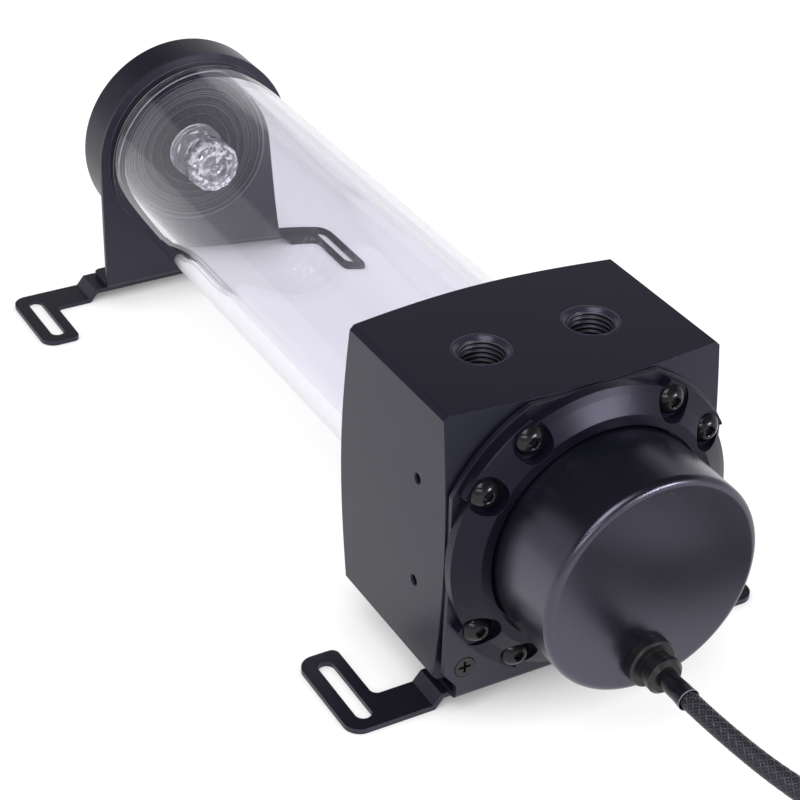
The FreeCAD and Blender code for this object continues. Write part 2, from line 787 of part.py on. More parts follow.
def foot_strip(label, turned):
    """Sheet strip under a flange: it steps down at each side to a slotted pad on the floor."""
    front = BLOCK_FACE + S.sheet - S.front_strip_setback
    rear = TUBE_END - S.rear_strip_setback - S.strip_width
    body = new_body(label, x=rear if turned else front)
    if turned:
        body.Placement.Rotation = FreeCAD.Rotation(Vector(0, 0, 1), 180)
        for axis, value in (("x", rear), ("y", 0), ("z", 0)):
            bind(body, f"Placement.Base.{axis}", value)
    t, up = S.sheet, FLOOR_TO_FLANGE
    a, b, out = S.joggle_inner, S.joggle_outer, PAD_OUTER
    under = t * JOGGLE_SHIFT
    half = [(a, up), (b, t), (out, t), (out, 0), (b - under, 0), (a - under, up - t)]
    mirror = [(-y, z) for y, z in reversed(half)]
    prism(body, "strip", "YZ_Plane", 0, S.pad_length, polygon(half + mirror), back=True)
    wide, arm = PAD_INNER, S.strip_width
    end = -S.pad_length - PAST
    gap = [(-arm, -wide), (-arm, wide), (end, wide), (end, -wide)]
    prism(body, "gap", "XY_Plane", up + PAST, up + 2 * PAST, polygon(gap), cut=True, back=True)
    pad_corner = lambda p: near(abs(p.y), out) and (near(p.x, 0) or near(p.x, -S.pad_length))
    ease(body, "pad_corners", "Fillet", S.pad_corner_radius, pad_corner)
    inner = lambda p: near(abs(p.y), wide) and (near(p.x, -arm) or near(p.x, -S.pad_length))
    ease(body, "inner_corners", "Fillet", S.strip_inner_radius, inner)
    middle = -S.pad_length / 2
    run = (S.slot_length - S.slot_width) / 2
    h = S.slot_width / 2
    for name, side in (("left_slot", -1), ("right_slot", 1)):
        y = side * S.slot_spacing / 2
        slot = [
            (middle + run, y - h, (middle + run, y)), (middle + run, y + h),
            (middle - run, y + h, (middle - run, y)), (middle - run, y - h),
        ]
        prism(body, name, "XY_Plane", up, up + PAST, polygon(slot), cut=True, back=True)
    return body


def clamp_ring():
    """Turned ring with a conical front and four lobes that carry the counterbored bolts."""
    body = new_body("clamp_ring", x=BLOCK_FACE + S.sheet, z=S.axis_height)
    bore = S.can_radius + S.ring_bore_clearance
    recess = S.motor_flange_radius + S.recess_clearance
    ceiling = S.cup_sheet + S.motor_flange + S.can_wall - S.sheet
    outer, e = S.bolt_circle_radius + S.lobe_reach, S.lobe_edge
    lobe = [
        (0, S.lobe_inner_radius), (0, outer), (S.ring_wall, outer), (S.ring_wall + e, outer - e),
        (S.lobe_inner_height, S.lobe_inner_radius),
    ]
    revolve(body, "lobe_band", lobe)
    for corner in range(CORNERS):
        low = 90.0 * corner - (45.0 - LOBE_HALF_DEG)
        high = 90.0 * corner + (45.0 - LOBE_HALF_DEG)
        inner = S.lobe_inner_radius - S.ring_wall
        window = [polar(inner, low), polar(FAR, low), polar(FAR, high), polar(inner, high)]
        name = f"window_{corner + 1}"
        prism(body, name, "YZ_Plane", -PAST, S.ring_height + 2 * PAST, polygon(window), cut=True)
    main = [
        (0, recess), (0, S.ring_radius), (S.ring_wall, S.ring_radius),
        (S.ring_crease_height, S.ring_crease_radius), (S.ring_height, S.ring_land_radius), (S.ring_height, bore),
        (ceiling, bore), (ceiling, recess),
    ]
    revolve(body, "ring", main)
    holes = bolt_places(S.bolt_circle_radius)
    prism(body, "bolt_holes", "YZ_Plane", -PAST, S.ring_height + 2 * PAST,
          circles(holes, S.bolt_radius + S.bolt_clearance), cut=True)
    prism(body, "counterbores", "YZ_Plane", S.counterbore_floor, S.ring_height, circles(holes,
          S.counterbore_radius), cut=True)
    return body


def ring_bolts():
    """Eight button-head bolts with hexagon sockets, a pair beside each diagonal."""
    body = new_body("ring_screws", x=BLOCK_FACE + S.sheet + S.counterbore_floor, z=S.axis_height)
    r, head, tall = S.bolt_radius, S.bolt_head_radius, S.bolt_head_height
    places = bolt_places(S.bolt_circle_radius)
    prism(body, "shanks", "YZ_Plane", 0, S.bolt_length, circles(places, r), back=True)
    prism(body, "heads", "YZ_Plane", 0, tall, circles(places, head))
    rim = lambda p: near(p.x, tall)
    ease(body, "crowns", "Chamfer", S.bolt_crown, rim)
    corner = S.bolt_socket_flats / math.sqrt(3)

    def sockets(sketch):
        for y, z in places:
            spokes = [polar(corner, 60.0 * turn) for turn in range(SIDES)]
            outline(sketch, [(y + dy, z + dz) for dy, dz in spokes])

    prism(body, "sockets", "YZ_Plane", tall - S.bolt_socket_depth, tall, sockets, cut=True)
    return body


def bracket_screws():
    """Two countersunk screws with cross recesses."""
    body = new_body("bracket_screws", x=BLOCK_FACE + S.sheet, z=S.axis_height)
    places = [(side * S.bracket_screw_side, -S.bracket_screw_drop) for side in (-1, 1)]
    head = S.bracket_screw_head_radius
    flare = head - S.bracket_screw_radius
    prism(body, "shanks", "YZ_Plane", 0, S.bracket_screw_length, circles(places, S.bracket_screw_radius),
          back=True)
    cone = prism(body, "heads", "YZ_Plane", 0, flare, circles(places, head), back=True)
    cone.TaperAngle = -SINK_DEG
    arm, half = S.recess_arm, S.recess_half_width
    star = []
    for turn in range(CORNERS):
        for a, b in ((arm, -half), (arm, half), (half, half)):
            c, s = round(math.cos(math.pi / 2 * turn)), round(math.sin(math.pi / 2 * turn))
            star.append((a * c - b * s, a * s + b * c))
    for index, (y, z) in enumerate(places, start=1):
        cross = [(y + dy, z + dz) for dy, dz in star]
        prism(body, f"recess_{index}", "YZ_Plane", 0, flare, polygon(cross), cut=True, back=True)
    return body


def pump_can():
    """Drawn can over the motor, with a flange under the clamp ring and a hole for the cable gland."""
    body = new_body("pump_can", x=BLOCK_FACE + S.cup_sheet + S.motor_flange, z=S.axis_height)
    w, r, length = S.can_wall, S.can_radius, S.can_length
    revolve(body, "can", [
        (0, r - w), (0, S.motor_flange_radius), (w, S.motor_flange_radius), (w, r), (length, r),
        (length, 0), (length - w, 0), (length - w, r - w),
    ])
    outer = lambda p: near(p.x, length) and near(radius_of(p), r)
    ease(body, "outer_round", "Fillet", S.can_edge_radius, outer)
    inner = lambda p: near(p.x, length - w) and near(radius_of(p), r - w)
    ease(body, "inner_round", "Chamfer", S.can_inner_edge, inner)
    hole = S.gland_stub_radius + S.gland_stub_clearance
    prism(body, "gland_hole", "YZ_Plane", length - w - PAST, w + 2 * PAST, circles([(0, -S.gland_drop)], hole),
          cut=True)
    return body


def cup_arc(radius, x):
    """Height above the axis of a sphere of that radius about the cup's centre, at x."""
    return leg(radius, x + S.cup_centre)


def rotor_cup():
    """Thin dished wall between the coolant and the windings."""
    body = new_body("rotor_cup", x=BLOCK_FACE, z=S.axis_height)
    inner, t = S.cup_radius, S.cup_sheet
    outer = inner + t
    centre = (-S.cup_centre, 0)
    revolve(body, "dish", [
        (0, cup_arc(inner, 0)), (0, S.cup_flange_radius), (t, S.cup_flange_radius),
        (t, cup_arc(outer, t), centre, True), (outer - S.cup_centre, 0), (inner - S.cup_centre, 0, centre),
    ])
    return body


def motor_housing():
    """Open pot round the stator with the flange that the clamp ring presses on."""
    body = new_body("motor_housing", x=BLOCK_FACE + S.cup_sheet, z=S.axis_height)
    t, r, length = S.motor_flange, S.pot_radius, S.pot_length
    opening = S.cup_radius + S.cup_sheet + S.tooth_gap
    revolve(body, "pot", [
        (0, opening), (0, S.motor_flange_radius), (t, S.motor_flange_radius), (t, r), (length, r),
        (length, r - S.pot_wall), (S.pot_floor, r - S.pot_wall), (S.pot_floor, opening),
    ])
    return body


def bearing_post():
    """Fixed post that carries the bearing ball at the centre of the cup."""
    body = new_body("bearing_post", x=BLOCK_FACE, z=S.axis_height)
    stop = S.cup_radius - S.cup_centre - S.post_clearance
    revolve(body, "post", [(0, 0), (stop, 0), (stop, S.post_radius), (0, S.post_radius)])
    return body


def bearing_ball():
    """Ceramic ball with a blind hole for the post."""
    body = new_body("bearing_ball", x=BLOCK_FACE, z=S.axis_height)
    c, r = S.cup_centre, S.ball_radius
    hole = S.post_radius + S.ball_clearance
    mouth = leg(r, hole) - c
    centre = (-c, 0)
    back = -S.ball_face
    revolve(body, "ball", [(-c - r, 0), (back, 0), (back, hole), (mouth, hole, centre)])
    return body


def rotor_magnet():
    """Magnet ring of the rotor, a zone of a sphere that runs close to the cup."""
    body = new_body("rotor_magnet", x=BLOCK_FACE, z=S.axis_height)
    outer = S.cup_radius - S.rotor_gap
    inner = outer - S.magnet_thickness
    near_x, far_x = S.cup_centre, S.magnet_end
    centre = (-S.cup_centre, 0)
    revolve(body, "zone", [
        (near_x, cup_arc(inner, near_x)), (near_x, cup_arc(outer, near_x), centre, True),
        (far_x, cup_arc(outer, far_x)), (far_x, cup_arc(inner, far_x), centre),
    ])
    return body


def impeller():
    """Closed impeller with curved vanes on a bowl that carries the magnet and runs on the ball."""
    body = new_body("impeller", x=BLOCK_FACE, z=S.axis_height)
    c = S.cup_centre
    centre = (-c, 0)
    socket = S.ball_radius + S.ball_clearance
    bowl = S.cup_radius - S.rotor_gap - S.magnet_thickness - S.magnet_clearance
    waist = S.cup_radius - S.rotor_gap - S.waist_clearance
    front = -S.impeller_setback
    disc = front - S.impeller_disc
    shoulder = c - S.magnet_clearance
    end = S.bowl_end
    nose = disc - S.nose_length
    rotor = S.impeller_radius
    revolve(body, "bowl", [
        (nose, 0), (-c - socket, 0, centre, True), (-c, socket), (socket - c, socket),
        (end, S.bowl_mouth_radius), (end, cup_arc(bowl, end), centre), (shoulder, cup_arc(bowl, shoulder)),
        (shoulder, waist), (front, waist), (front, rotor), (disc, rotor), (disc, S.nose_base_radius),
        (nose, S.nose_radius),
    ])
    eye, t = S.impeller_eye_radius, S.vane_thickness
    root, tip_r = eye + t / 3, rotor - t / 3
    start, stop = polar(root, 0), polar(tip_r, VANE_SWEEP_DEG)
    stop_back = polar(tip_r, VANE_SWEEP_DEG + VANE_TIP_DEG)
    start_back = polar(root, VANE_ROOT_DEG)
    vane = [(*start, bow_centre(start, stop)), stop, (*stop_back, bow_centre(start_back, stop_back), True),
            start_back]
    made = prism(body, "vane", "YZ_Plane", disc, S.vane_height, polygon(vane), back=True)
    around(body, "vanes", [made], VANES)
    wall = disc - S.vane_height
    neck = eye + S.neck_wall
    tip = wall - S.shroud_thickness - S.neck_length
    revolve(body, "shroud", [
        (wall, eye), (wall, rotor), (wall - S.shroud_thickness, rotor), (wall - S.shroud_thickness, neck),
        (tip, neck), (tip, eye),
    ])
    return body


def bow_centre(a, b):
    """Centre of an arc from a to b, on the chord's left at a fixed share of its length."""
    x = (a[0] + b[0]) / 2 - VANE_BOW * (b[1] - a[1])
    y = (a[1] + b[1]) / 2 + VANE_BOW * (b[0] - a[0])
    return x, y


def stator_core():
    """Iron ring with six teeth whose faces follow the cup."""
    body = new_body("stator_core", x=BLOCK_FACE, z=S.axis_height)
    a = S.stator_start
    b = a + S.stator_length
    r = S.stator_radius
    ring = r - S.stator_ring_width
    face = S.cup_radius + S.cup_sheet + S.tooth_gap
    revolve(body, "ring", [(a, ring), (a, r), (b, r), (b, ring)])
    centre = (-S.cup_centre, 0)
    root = ring + S.tooth_root
    tooth = [(a, root), (a, cup_arc(face, a), centre, True), (b, cup_arc(face, b)), (b, root)]
    half = S.tooth_width / 2
    made = prism(body, "tooth", "XZ_Plane", -half, S.tooth_width, polygon(tooth))
    around(body, "teeth", [made], POLES)
    return body


def stator_windings():
    """Six coils, one round each tooth."""
    body = new_body("stator_windings", x=BLOCK_FACE, z=S.axis_height)
    a = S.stator_start
    b = a + S.stator_length
    fit, m = S.coil_fit, S.coil_margin
    half = S.tooth_width / 2 + fit
    inner = [(a - fit, -half), (b + fit, -half), (b + fit, half), (a - fit, half)]
    lo, hi, side = a - fit - S.coil_front_margin, b + fit + m, half + m
    outer = [(lo, -side), (hi, -side), (hi, side), (lo, side)]
    z = S.stator_radius - S.stator_ring_width - S.coil_thickness - S.coil_setback
    made = prism(body, "coil", "XY_Plane", z, S.coil_thickness,
                 lambda s: (outline(s, outer), outline(s, inner)))
    around(body, "coils", [made], POLES)
    return body


def control_board():
    """Round circuit board at the closed end of the motor."""
    body = new_body("control_board", x=BLOCK_FACE + S.board_start, z=S.axis_height)
    prism(body, "board", "YZ_Plane", 0, S.board_thickness, circles([(0, 0)], S.board_radius))
    return body


def board_capacitors():
    """Round capacitors that stand on the board."""
    body = new_body("board_capacitors", x=BLOCK_FACE + S.board_start + S.board_thickness, z=S.axis_height)
    places = [polar(S.capacitor_circle, 30.0 + 60.0 * turn) for turn in range(CAPACITORS)]
    prism(body, "cans", "YZ_Plane", 0, S.capacitor_height, circles(places, S.capacitor_radius))
    return body


def can_end():
    """Place along X of the can's outer end face."""
    return BLOCK_FACE + S.cup_sheet + S.motor_flange + S.can_length


def cable_height():
    """Height of the gland's axis above the floor."""
    return S.axis_height - S.gland_drop


def cable_gland():
    """Rubber gland with a lip behind the can's end wall."""
    body = new_body("cable_gland", x=can_end(), z=cable_height())
    hole = S.cable_radius + S.sleeve_clearance
    w, lip = S.can_wall, S.gland_lip_thickness
    base, r, length, e = S.gland_base_thickness, S.gland_body_radius, S.gland_length, S.gland_edge
    rib = S.gland_rib
    crest = length - 3 * e
    revolve(body, "gland", [
        (-w - lip, hole), (-w - lip, S.gland_lip_radius), (-w, S.gland_lip_radius), (-w, S.gland_stub_radius),
        (0, S.gland_stub_radius), (0, S.gland_base_radius), (base - rib, S.gland_base_radius),
        (base, S.gland_base_radius - rib), (base, r - rib), (crest, r - rib), (crest + rib, r),
        (length - e, r), (length, r - e), (length, hole),
    ])
    return body


def heat_shrink_sleeve():
    """Shrunk sleeve over the cable where it leaves the gland."""
    body = new_body("heat_shrink_sleeve", x=can_end() + S.gland_length, z=cable_height())
    hole = S.cable_radius + S.sleeve_clearance
    length = S.sleeve_length
    revolve(body, "sleeve", [(0, hole), (length, hole), (length, S.sleeve_radius), (0, S.sleeve_radius)])
    return body


def cable_points():
    """Route of the cable, from inside the gland to where its coil begins: a list chosen by hand."""
    start = float(can_end()) - float(S.can_wall) - float(S.gland_lip_thickness)
    mouth = float(can_end()) + float(S.gland_length)
    high = float(cable_height())
    low = coil_top()
    return [
        Vector(start, 0, high), Vector(mouth + 9.9, 0, high), Vector(mouth + 21.9, 1.9, 25.4),
        Vector(mouth + 32.9, 6.0, 22.2), Vector(mouth + 43.4, 11.0, low), Vector(mouth + 52.9, 15.5, low),
    ]


def coil_top():
    """Height of the cable's centre at the top of its coil."""
    floor = float(S.cable_radius) + float(S.floor_clearance)
    return floor + float(S.coil_turns) * float(S.turn_pitch)


def tube_along(points, radius):
    """Round tube along straight runs joined by tangent arcs, with the radii and length of the path."""
    pieces, radii = [], []
    at = points[0]
    for before, corner, after in zip(points, points[1:], points[2:]):
        a, b = before - corner, after - corner
        half = (math.pi - a.getAngle(b)) / 2
        cut = 0.45 * min(a.Length, b.Length)
        radii.append(cut / math.tan(half))
        a.normalize()
        b.normalize()
        enter, leave = corner + a * cut, corner + b * cut
        middle = a + b
        middle.normalize()
        depth = radii[-1] / math.cos(half) - radii[-1]
        pieces.append(Part.LineSegment(at, enter).toShape())
        pieces.append(Part.Arc(enter, corner + middle * depth, leave).toShape())
        at = leave
    pieces.append(Part.LineSegment(at, points[-1]).toShape())
    path = Part.Wire(pieces)
    start = points[1] - points[0]
    section = Part.Wire([Part.makeCircle(radius, points[0], start)])
    return path.makePipeShell([section], True, False), radii, path.Length


def cable_lead():
    """Cable from the gland to its coil."""
    radius = float(S.cable_radius)
    solid, radii, length = tube_along(cable_points(), radius)
    share = solid.Volume / (math.pi * radius ** 2 * length)
    print("cable bend radii", [round(r, 1) for r in radii], "length", round(length, 1), "volume share",
          round(share, 4))
    lead = DOC.addObject("Part::Feature", "cable_lead")
    lead.Label = "cable_lead"
    lead.Shape = solid
    return lead


def coil_frame():
    """Entry point and direction of the coil, its centre and the angle at which its turns end."""
    points = cable_points()
    way = points[-1] - points[-2]
    way.normalize()
    touch = points[-1] + way * float(S.coil_lead)
    left = Vector(-way.y, way.x, 0)
    centre = touch + left * float(S.coil_radius)
    begin = math.atan2(touch.y - centre.y, touch.x - centre.x)
    return points[-1], way, centre, begin + 2 * math.pi * float(S.coil_turns)


def coil_exit():
    """Start and direction of the straight end of the cable beside its coil."""
    _, _, centre, end = coil_frame()
    outward = Vector(math.cos(end), math.sin(end), 0)
    start = centre + outward * float(S.coil_radius)
    start.z = float(S.cable_radius) + float(S.floor_clearance)
    return start, Vector(-outward.y, outward.x, 0)


def cable_coil():
    """Outer shape of the coiled length: a ring with the cable's way in at the top and its way out below."""
    entry, way, centre, _ = coil_frame()
    r = float(S.cable_radius)
    margin = float(S.coil_margin_outside)
    tall = coil_top() + r + margin
    at = Vector(centre.x, centre.y, 0)
    outer = Part.makeCylinder(float(S.coil_radius) + r + margin, tall, at)
    inner = Part.makeCylinder(float(S.coil_radius) - r - margin, tall, at)
    start, out = coil_exit()
    lead_in = Part.makeCylinder(r, float(S.coil_lead), entry, way)
    lead_out = Part.makeCylinder(r, float(S.coil_tail), start, out)
    coil = DOC.addObject("Part::Feature", "cable_coil")
    coil.Label = "cable_coil"
    coil.Shape = outer.cut(inner).fuse([lead_in, lead_out]).removeSplitter()
    return coil


def connector():
    """Four-way connector at the end of the cable."""
    start, out = coil_exit()
    at = start + out * float(S.coil_tail)
    body = new_body("connector", x=at.x, y=at.y)
    body.Placement.Rotation = FreeCAD.Rotation(Vector(1, 0, 0), out)
    w, tall, length = S.connector_width / 2, S.connector_height, S.connector_length
    prism(body, "housing", "YZ_Plane", 0, length, polygon([(-w, 0), (w, 0), (w, tall), (-w, tall)]))
    ease(body, "edges", "Chamfer", S.connector_edge, lambda p: near(abs(p.y), w) and (near(p.z, 0)
         or near(p.z, tall)))
    back = S.key_setback
    for name, side in (("left_key", -1), ("right_key", 1)):
        a, b = side * S.contact_pitch - S.key_width / 2, side * S.contact_pitch + S.key_width / 2
        top = tall + S.key_height
        key = [(a, tall - back), (b, tall - back), (b, top), (a, top)]
        prism(body, name, "YZ_Plane", back, length - 2 * back, polygon(key))
    h = S.contact_opening / 2

    def openings(sketch):
        for contact in range(CONTACTS):
            y = (contact - (CONTACTS - 1) / 2) * S.contact_pitch
            outline(sketch, [(y - h, tall / 2 - h), (y + h, tall / 2 - h), (y + h, tall / 2 + h),
                             (y - h, tall / 2 + h)])

    prism(body, "contacts", "YZ_Plane", length - S.contact_depth, S.contact_depth + PAST, openings, cut=True)
    return body


def build():
    """Makes every sub-part, checks it and writes it."""
    made = [
        pump_block(), reservoir_tube(), tube_oring(), pump_oring(), end_cap(), cap_oring(), light_plug(),
        light_plug_seal(), front_bracket(), rear_bracket(), foot_strip("front_foot_strip", False),
        foot_strip("rear_foot_strip", True), bracket_screws(), clamp_ring(), ring_bolts(), pump_can(),
        motor_housing(), rotor_cup(), bearing_post(), bearing_ball(), rotor_magnet(), impeller(),
        stator_core(), stator_windings(), control_board(), board_capacitors(), cable_gland(),
        heat_shrink_sleeve(), cable_lead(), cable_coil(), connector(),
    ]
    DOC.recompute()
    faults = [item.Name for item in DOC.Objects if {"Invalid", "Error"} & set(item.State)]
    faults += [item.Label for item in made if item.Shape.isNull() or not item.Shape.isValid()]
    if faults:
        raise RuntimeError(f"not built: {faults}")
    os.makedirs("parts", exist_ok=True)
    for item in made:
        item.Shape.exportStep(f"parts/{item.Label}.step")
        box = item.Shape.BoundBox
        print(item.Label, len(item.Shape.Solids), round(item.Shape.Volume, 1),
              [round(value, 2) for value in (box.XMin, box.XMax, box.YMin, box.YMax, box.ZMin, box.ZMax)])


build()
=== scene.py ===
"""Looks of the coolant pump reservoir: a dark anodised pump block with a clear tube on sheet feet."""
import math

import bpy
import numpy as np
from mathutils import Matrix, Vector


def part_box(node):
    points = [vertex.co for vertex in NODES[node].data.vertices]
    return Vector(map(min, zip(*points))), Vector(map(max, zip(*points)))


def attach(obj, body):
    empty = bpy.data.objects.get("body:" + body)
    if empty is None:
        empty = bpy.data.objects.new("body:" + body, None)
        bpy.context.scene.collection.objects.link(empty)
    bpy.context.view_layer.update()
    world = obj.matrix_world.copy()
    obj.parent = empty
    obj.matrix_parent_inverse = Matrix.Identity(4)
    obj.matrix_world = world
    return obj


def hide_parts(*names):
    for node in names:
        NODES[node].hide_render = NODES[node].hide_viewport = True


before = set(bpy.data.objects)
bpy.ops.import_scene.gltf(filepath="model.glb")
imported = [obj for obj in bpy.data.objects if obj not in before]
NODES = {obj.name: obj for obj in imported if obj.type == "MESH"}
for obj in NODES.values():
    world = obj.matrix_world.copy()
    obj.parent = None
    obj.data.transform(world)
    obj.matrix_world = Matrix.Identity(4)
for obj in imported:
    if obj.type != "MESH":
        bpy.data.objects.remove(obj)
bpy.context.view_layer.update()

MM = 0.001
FIXED = "reservoir"

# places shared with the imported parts, in metres
FACE_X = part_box("pump_block")[1].x
AXIS_Z = sum(corner.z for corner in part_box("reservoir_tube")) / 2
GLAND_END_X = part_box("cable_gland")[1].x
HEAD_SEAT_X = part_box("ring_screws")[1].x
BLOCK_HALF = 38.5 * MM
PORT_TOP_Z = AXIS_Z + BLOCK_HALF


class Wire:
    """Output of a node that takes part in Python arithmetic: each operation adds its own Math node."""

    def __init__(self, finish, socket):
        self.finish = finish
        self.socket = socket

    def _math(self, operation, *values):
        node = self.finish.node("ShaderNodeMath", {"operation": operation}, dict(enumerate(values)))
        return Wire(self.finish, node.outputs[0])

    def __add__(self, other):
        return self._math("ADD", self, other)

    __radd__ = __add__

    def __sub__(self, other):
        return self._math("SUBTRACT", self, other)

    def __rsub__(self, other):
        return self._math("SUBTRACT", other, self)

    def __mul__(self, other):
        return self._math("MULTIPLY", self, other)

    __rmul__ = __mul__

    def __pow__(self, other):
        return self._math("POWER", self, other)

    def above(self, limit):
        return self._math("GREATER_THAN", self, limit)

    def below(self, limit):
        return self._math("LESS_THAN", self, limit)

    def sine(self):
        return self._math("SINE", self)

    def size(self):
        return self._math("ABSOLUTE", self)

    def clamped(self):
        node = self.finish.node("ShaderNodeClamp", {}, {"Value": self})
        return Wire(self.finish, node.outputs[0])


class Nodes:
    """A node tree that is written as arithmetic on wires."""

    def __init__(self, tree):
        self.tree = tree

    def node(self, kind, settings, inputs):
        """Adds a node, sets its options, then its sockets by name or number."""
        made = self.tree.nodes.new(kind)
        for key, value in settings.items():
            setattr(made, key, value)
        for key, value in inputs.items():
            self.feed(made, key, value)
        return made

    def feed(self, node, key, value):
        """Links a wire to a socket or sets its value."""
        socket = node.inputs[key]
        if isinstance(value, Wire):
            self.tree.links.new(value.socket, socket)
        elif isinstance(value, tuple) and len(value) == 3 and socket.type == "RGBA":
            socket.default_value = (*value, 1.0)
        else:
            socket.default_value = value

    def wire(self, kind, settings, inputs, output=0):
        """Adds a node and returns one of its outputs as a wire."""
        return Wire(self, self.node(kind, settings, inputs).outputs[output])

    def parts_of(self, vector):
        """The three parts of a vector."""
        split = self.node("ShaderNodeSeparateXYZ", {}, {0: vector})
        return [Wire(self, output) for output in split.outputs]

    def rays(self, *kinds):
        """One for rays of any of these kinds, nought for the rest."""
        path = self.node("ShaderNodeLightPath", {}, {})
        total = Wire(self, path.outputs[kinds[0]])
        for kind in kinds[1:]:
            total = total + Wire(self, path.outputs[kind])
        return total.clamped()


class Finish(Nodes):
    """A node material. Constants go on the shader's sockets, and what varies comes in as wires."""

    def __init__(self, name, **constants):
        self.material = bpy.data.materials.new(name)
        self.material.use_nodes = True
        super().__init__(self.material.node_tree)
        self.shader = self.tree.nodes["Principled BSDF"]
        for key, value in constants.items():
            self.feed(self.shader, key.replace("_", " "), value)

    def place(self):
        """Object coordinates of the surface, in metres."""
        return self.wire("ShaderNodeTexCoord", {}, {}, "Object")

    def off_axis(self):
        """Distance from the tube's axis, in metres."""
        x, y, z = self.parts_of(self.place())
        rise = z - AXIS_Z
        return (y * y + rise * rise) ** 0.5

    def noise(self, scale, detail, vector=None):
        """Noise from 0 to 1 with that many features per metre."""
        inputs = {"Scale": scale, "Detail": detail, "Vector": vector or self.place()}
        return self.wire("ShaderNodeTexNoise", {}, inputs, "Fac")

    def mix(self, share, low, high):
        """Colour between two, by share."""
        made = self.node("ShaderNodeMix", {"data_type": "RGBA"}, {0: share})
        self.feed(made, 6, low)
        self.feed(made, 7, high)
        return Wire(self, made.outputs[2])

    def between(self, share, low, high):
        """Number between two, by share."""
        return share * (high - low) + low

    def bump(self, height, depth, strength=1.0, edge=0.0):
        """Feeds a bump of that depth in metres to the normal, over edges rounded by edge."""
        inputs = {"Height": height, "Distance": depth, "Strength": strength}
        if edge:
            inputs["Normal"] = self.wire("ShaderNodeBevel", {"samples": 6}, {"Radius": edge})
        self.set(Normal=self.wire("ShaderNodeBump", {}, inputs))

    def set(self, **inputs):
        """Feeds the shader's sockets."""
        for key, value in inputs.items():
            self.feed(self.shader, key.replace("_", " "), value)
        return self


COOL_GLOSS = (0.77, 0.75, 1.0)
METAL_EDGE = 0.25 * MM
SHEET_EDGE = 0.2 * MM
SCREW_EDGE = 0.12 * MM
TOOL_PITCH = 0.22 * MM


def shade(colour, factor):
    """The same colour, darker or lighter."""
    return tuple(part * factor for part in colour)


def anodised(name, base, rough):
    """Black anodised aluminium: faint mottling and a fine blasted grain."""
    f = Finish(name, IOR=1.42, Specular_Tint=COOL_GLOSS)
    cloud = f.noise(38.0, 3.0)
    grain = f.noise(5200.0, 2.0)
    tone = f.between(cloud, 0.88, 1.12)
    f.set(Base_Color=f.mix(cloud, shade(base, 0.86), shade(base, 1.16)),
          Roughness=tone * rough + grain * 0.05)
    f.bump(grain, 0.012 * MM, 0.55, METAL_EDGE)
    return f.material


def turned(name, base, rough):
    """Turned metal under a black coat: fine rings about the tube's axis."""
    f = Finish(name, IOR=1.33, Specular_Tint=COOL_GLOSS)
    rings = (f.off_axis() * (2 * math.pi / TOOL_PITCH)).sine() * 0.5 + 0.5
    cloud = f.noise(60.0, 2.0)
    grain = f.noise(4200.0, 2.0)
    f.set(Base_Color=f.mix(cloud, shade(base, 0.85), shade(base, 1.2)),
          Roughness=rings * 0.06 + cloud * 0.06 + (rough - 0.06))
    f.bump(rings * 0.6 + grain * 0.4, 0.006 * MM, 0.5, METAL_EDGE)
    return f.material


def drawn(name, base, rough):
    """Smooth satin coat on the drawn can, with the faintest mottling."""
    f = Finish(name, IOR=1.9, Specular_Tint=COOL_GLOSS)
    cloud = f.noise(60.0, 2.0)
    f.set(Base_Color=f.mix(cloud, shade(base, 0.85), shade(base, 1.2)),
          Roughness=cloud * 0.06 + (rough - 0.03))
    f.bump(cloud, 0.02 * MM, 0.3, METAL_EDGE)
    return f.material


def powder_coat(name, base, rough):
    """Fine textured powder coat on sheet."""
    f = Finish(name, IOR=1.63, Specular_Tint=COOL_GLOSS)
    peel = f.noise(1500.0, 3.0)
    cloud = f.noise(45.0, 2.0)
    f.set(Base_Color=f.mix(cloud, shade(base, 0.85), shade(base, 1.18)),
          Roughness=peel * 0.14 + (rough - 0.07))
    f.bump(peel, 0.02 * MM, 0.3, SHEET_EDGE)
    return f.material


def clear(name, tint, ior):
    """Polished clear glass whose tint is a little uneven."""
    f = Finish(name, Transmission_Weight=1.0, IOR=ior, Roughness=0.0)
    haze = f.noise(90.0, 2.0)
    f.set(Base_Color=f.mix(haze, shade(tint, 0.985), tint))
    return f.material


def metal(name, base, rough, metallic=1.0, scale=900.0):
    """Plain worked metal with small changes of polish."""
    f = Finish(name, Metallic=metallic)
    grain = f.noise(scale, 3.0)
    f.set(Base_Color=f.mix(grain, shade(base, 0.8), base), Roughness=grain * 0.16 + (rough - 0.08))
    f.bump(grain, 0.01 * MM, 0.4, SCREW_EDGE)
    return f.material


def moulded(name, base, rough):
    """Rubber, plastic or ceramic with a fine mould texture."""
    f = Finish(name, IOR=1.48)
    grain = f.noise(2600.0, 2.0)
    cloud = f.noise(120.0, 2.0)
    f.set(Base_Color=f.mix(cloud, shade(base, 0.8), shade(base, 1.25)),
          Roughness=grain * 0.12 + (rough - 0.06))
    f.bump(grain, 0.012 * MM, 0.45, SHEET_EDGE)
    return f.material


# camera at the photograph's viewing angle
VIEW_AZIMUTH_DEG = 60.20
VIEW_ELEVATION_DEG = 32.40
VIEW_ROLL_DEG = 1.745
VIEW_PLACE = Vector((468.97, -251.26, 351.14)) * MM
VIEW_LENS = 96.90
SENSOR = 36.0


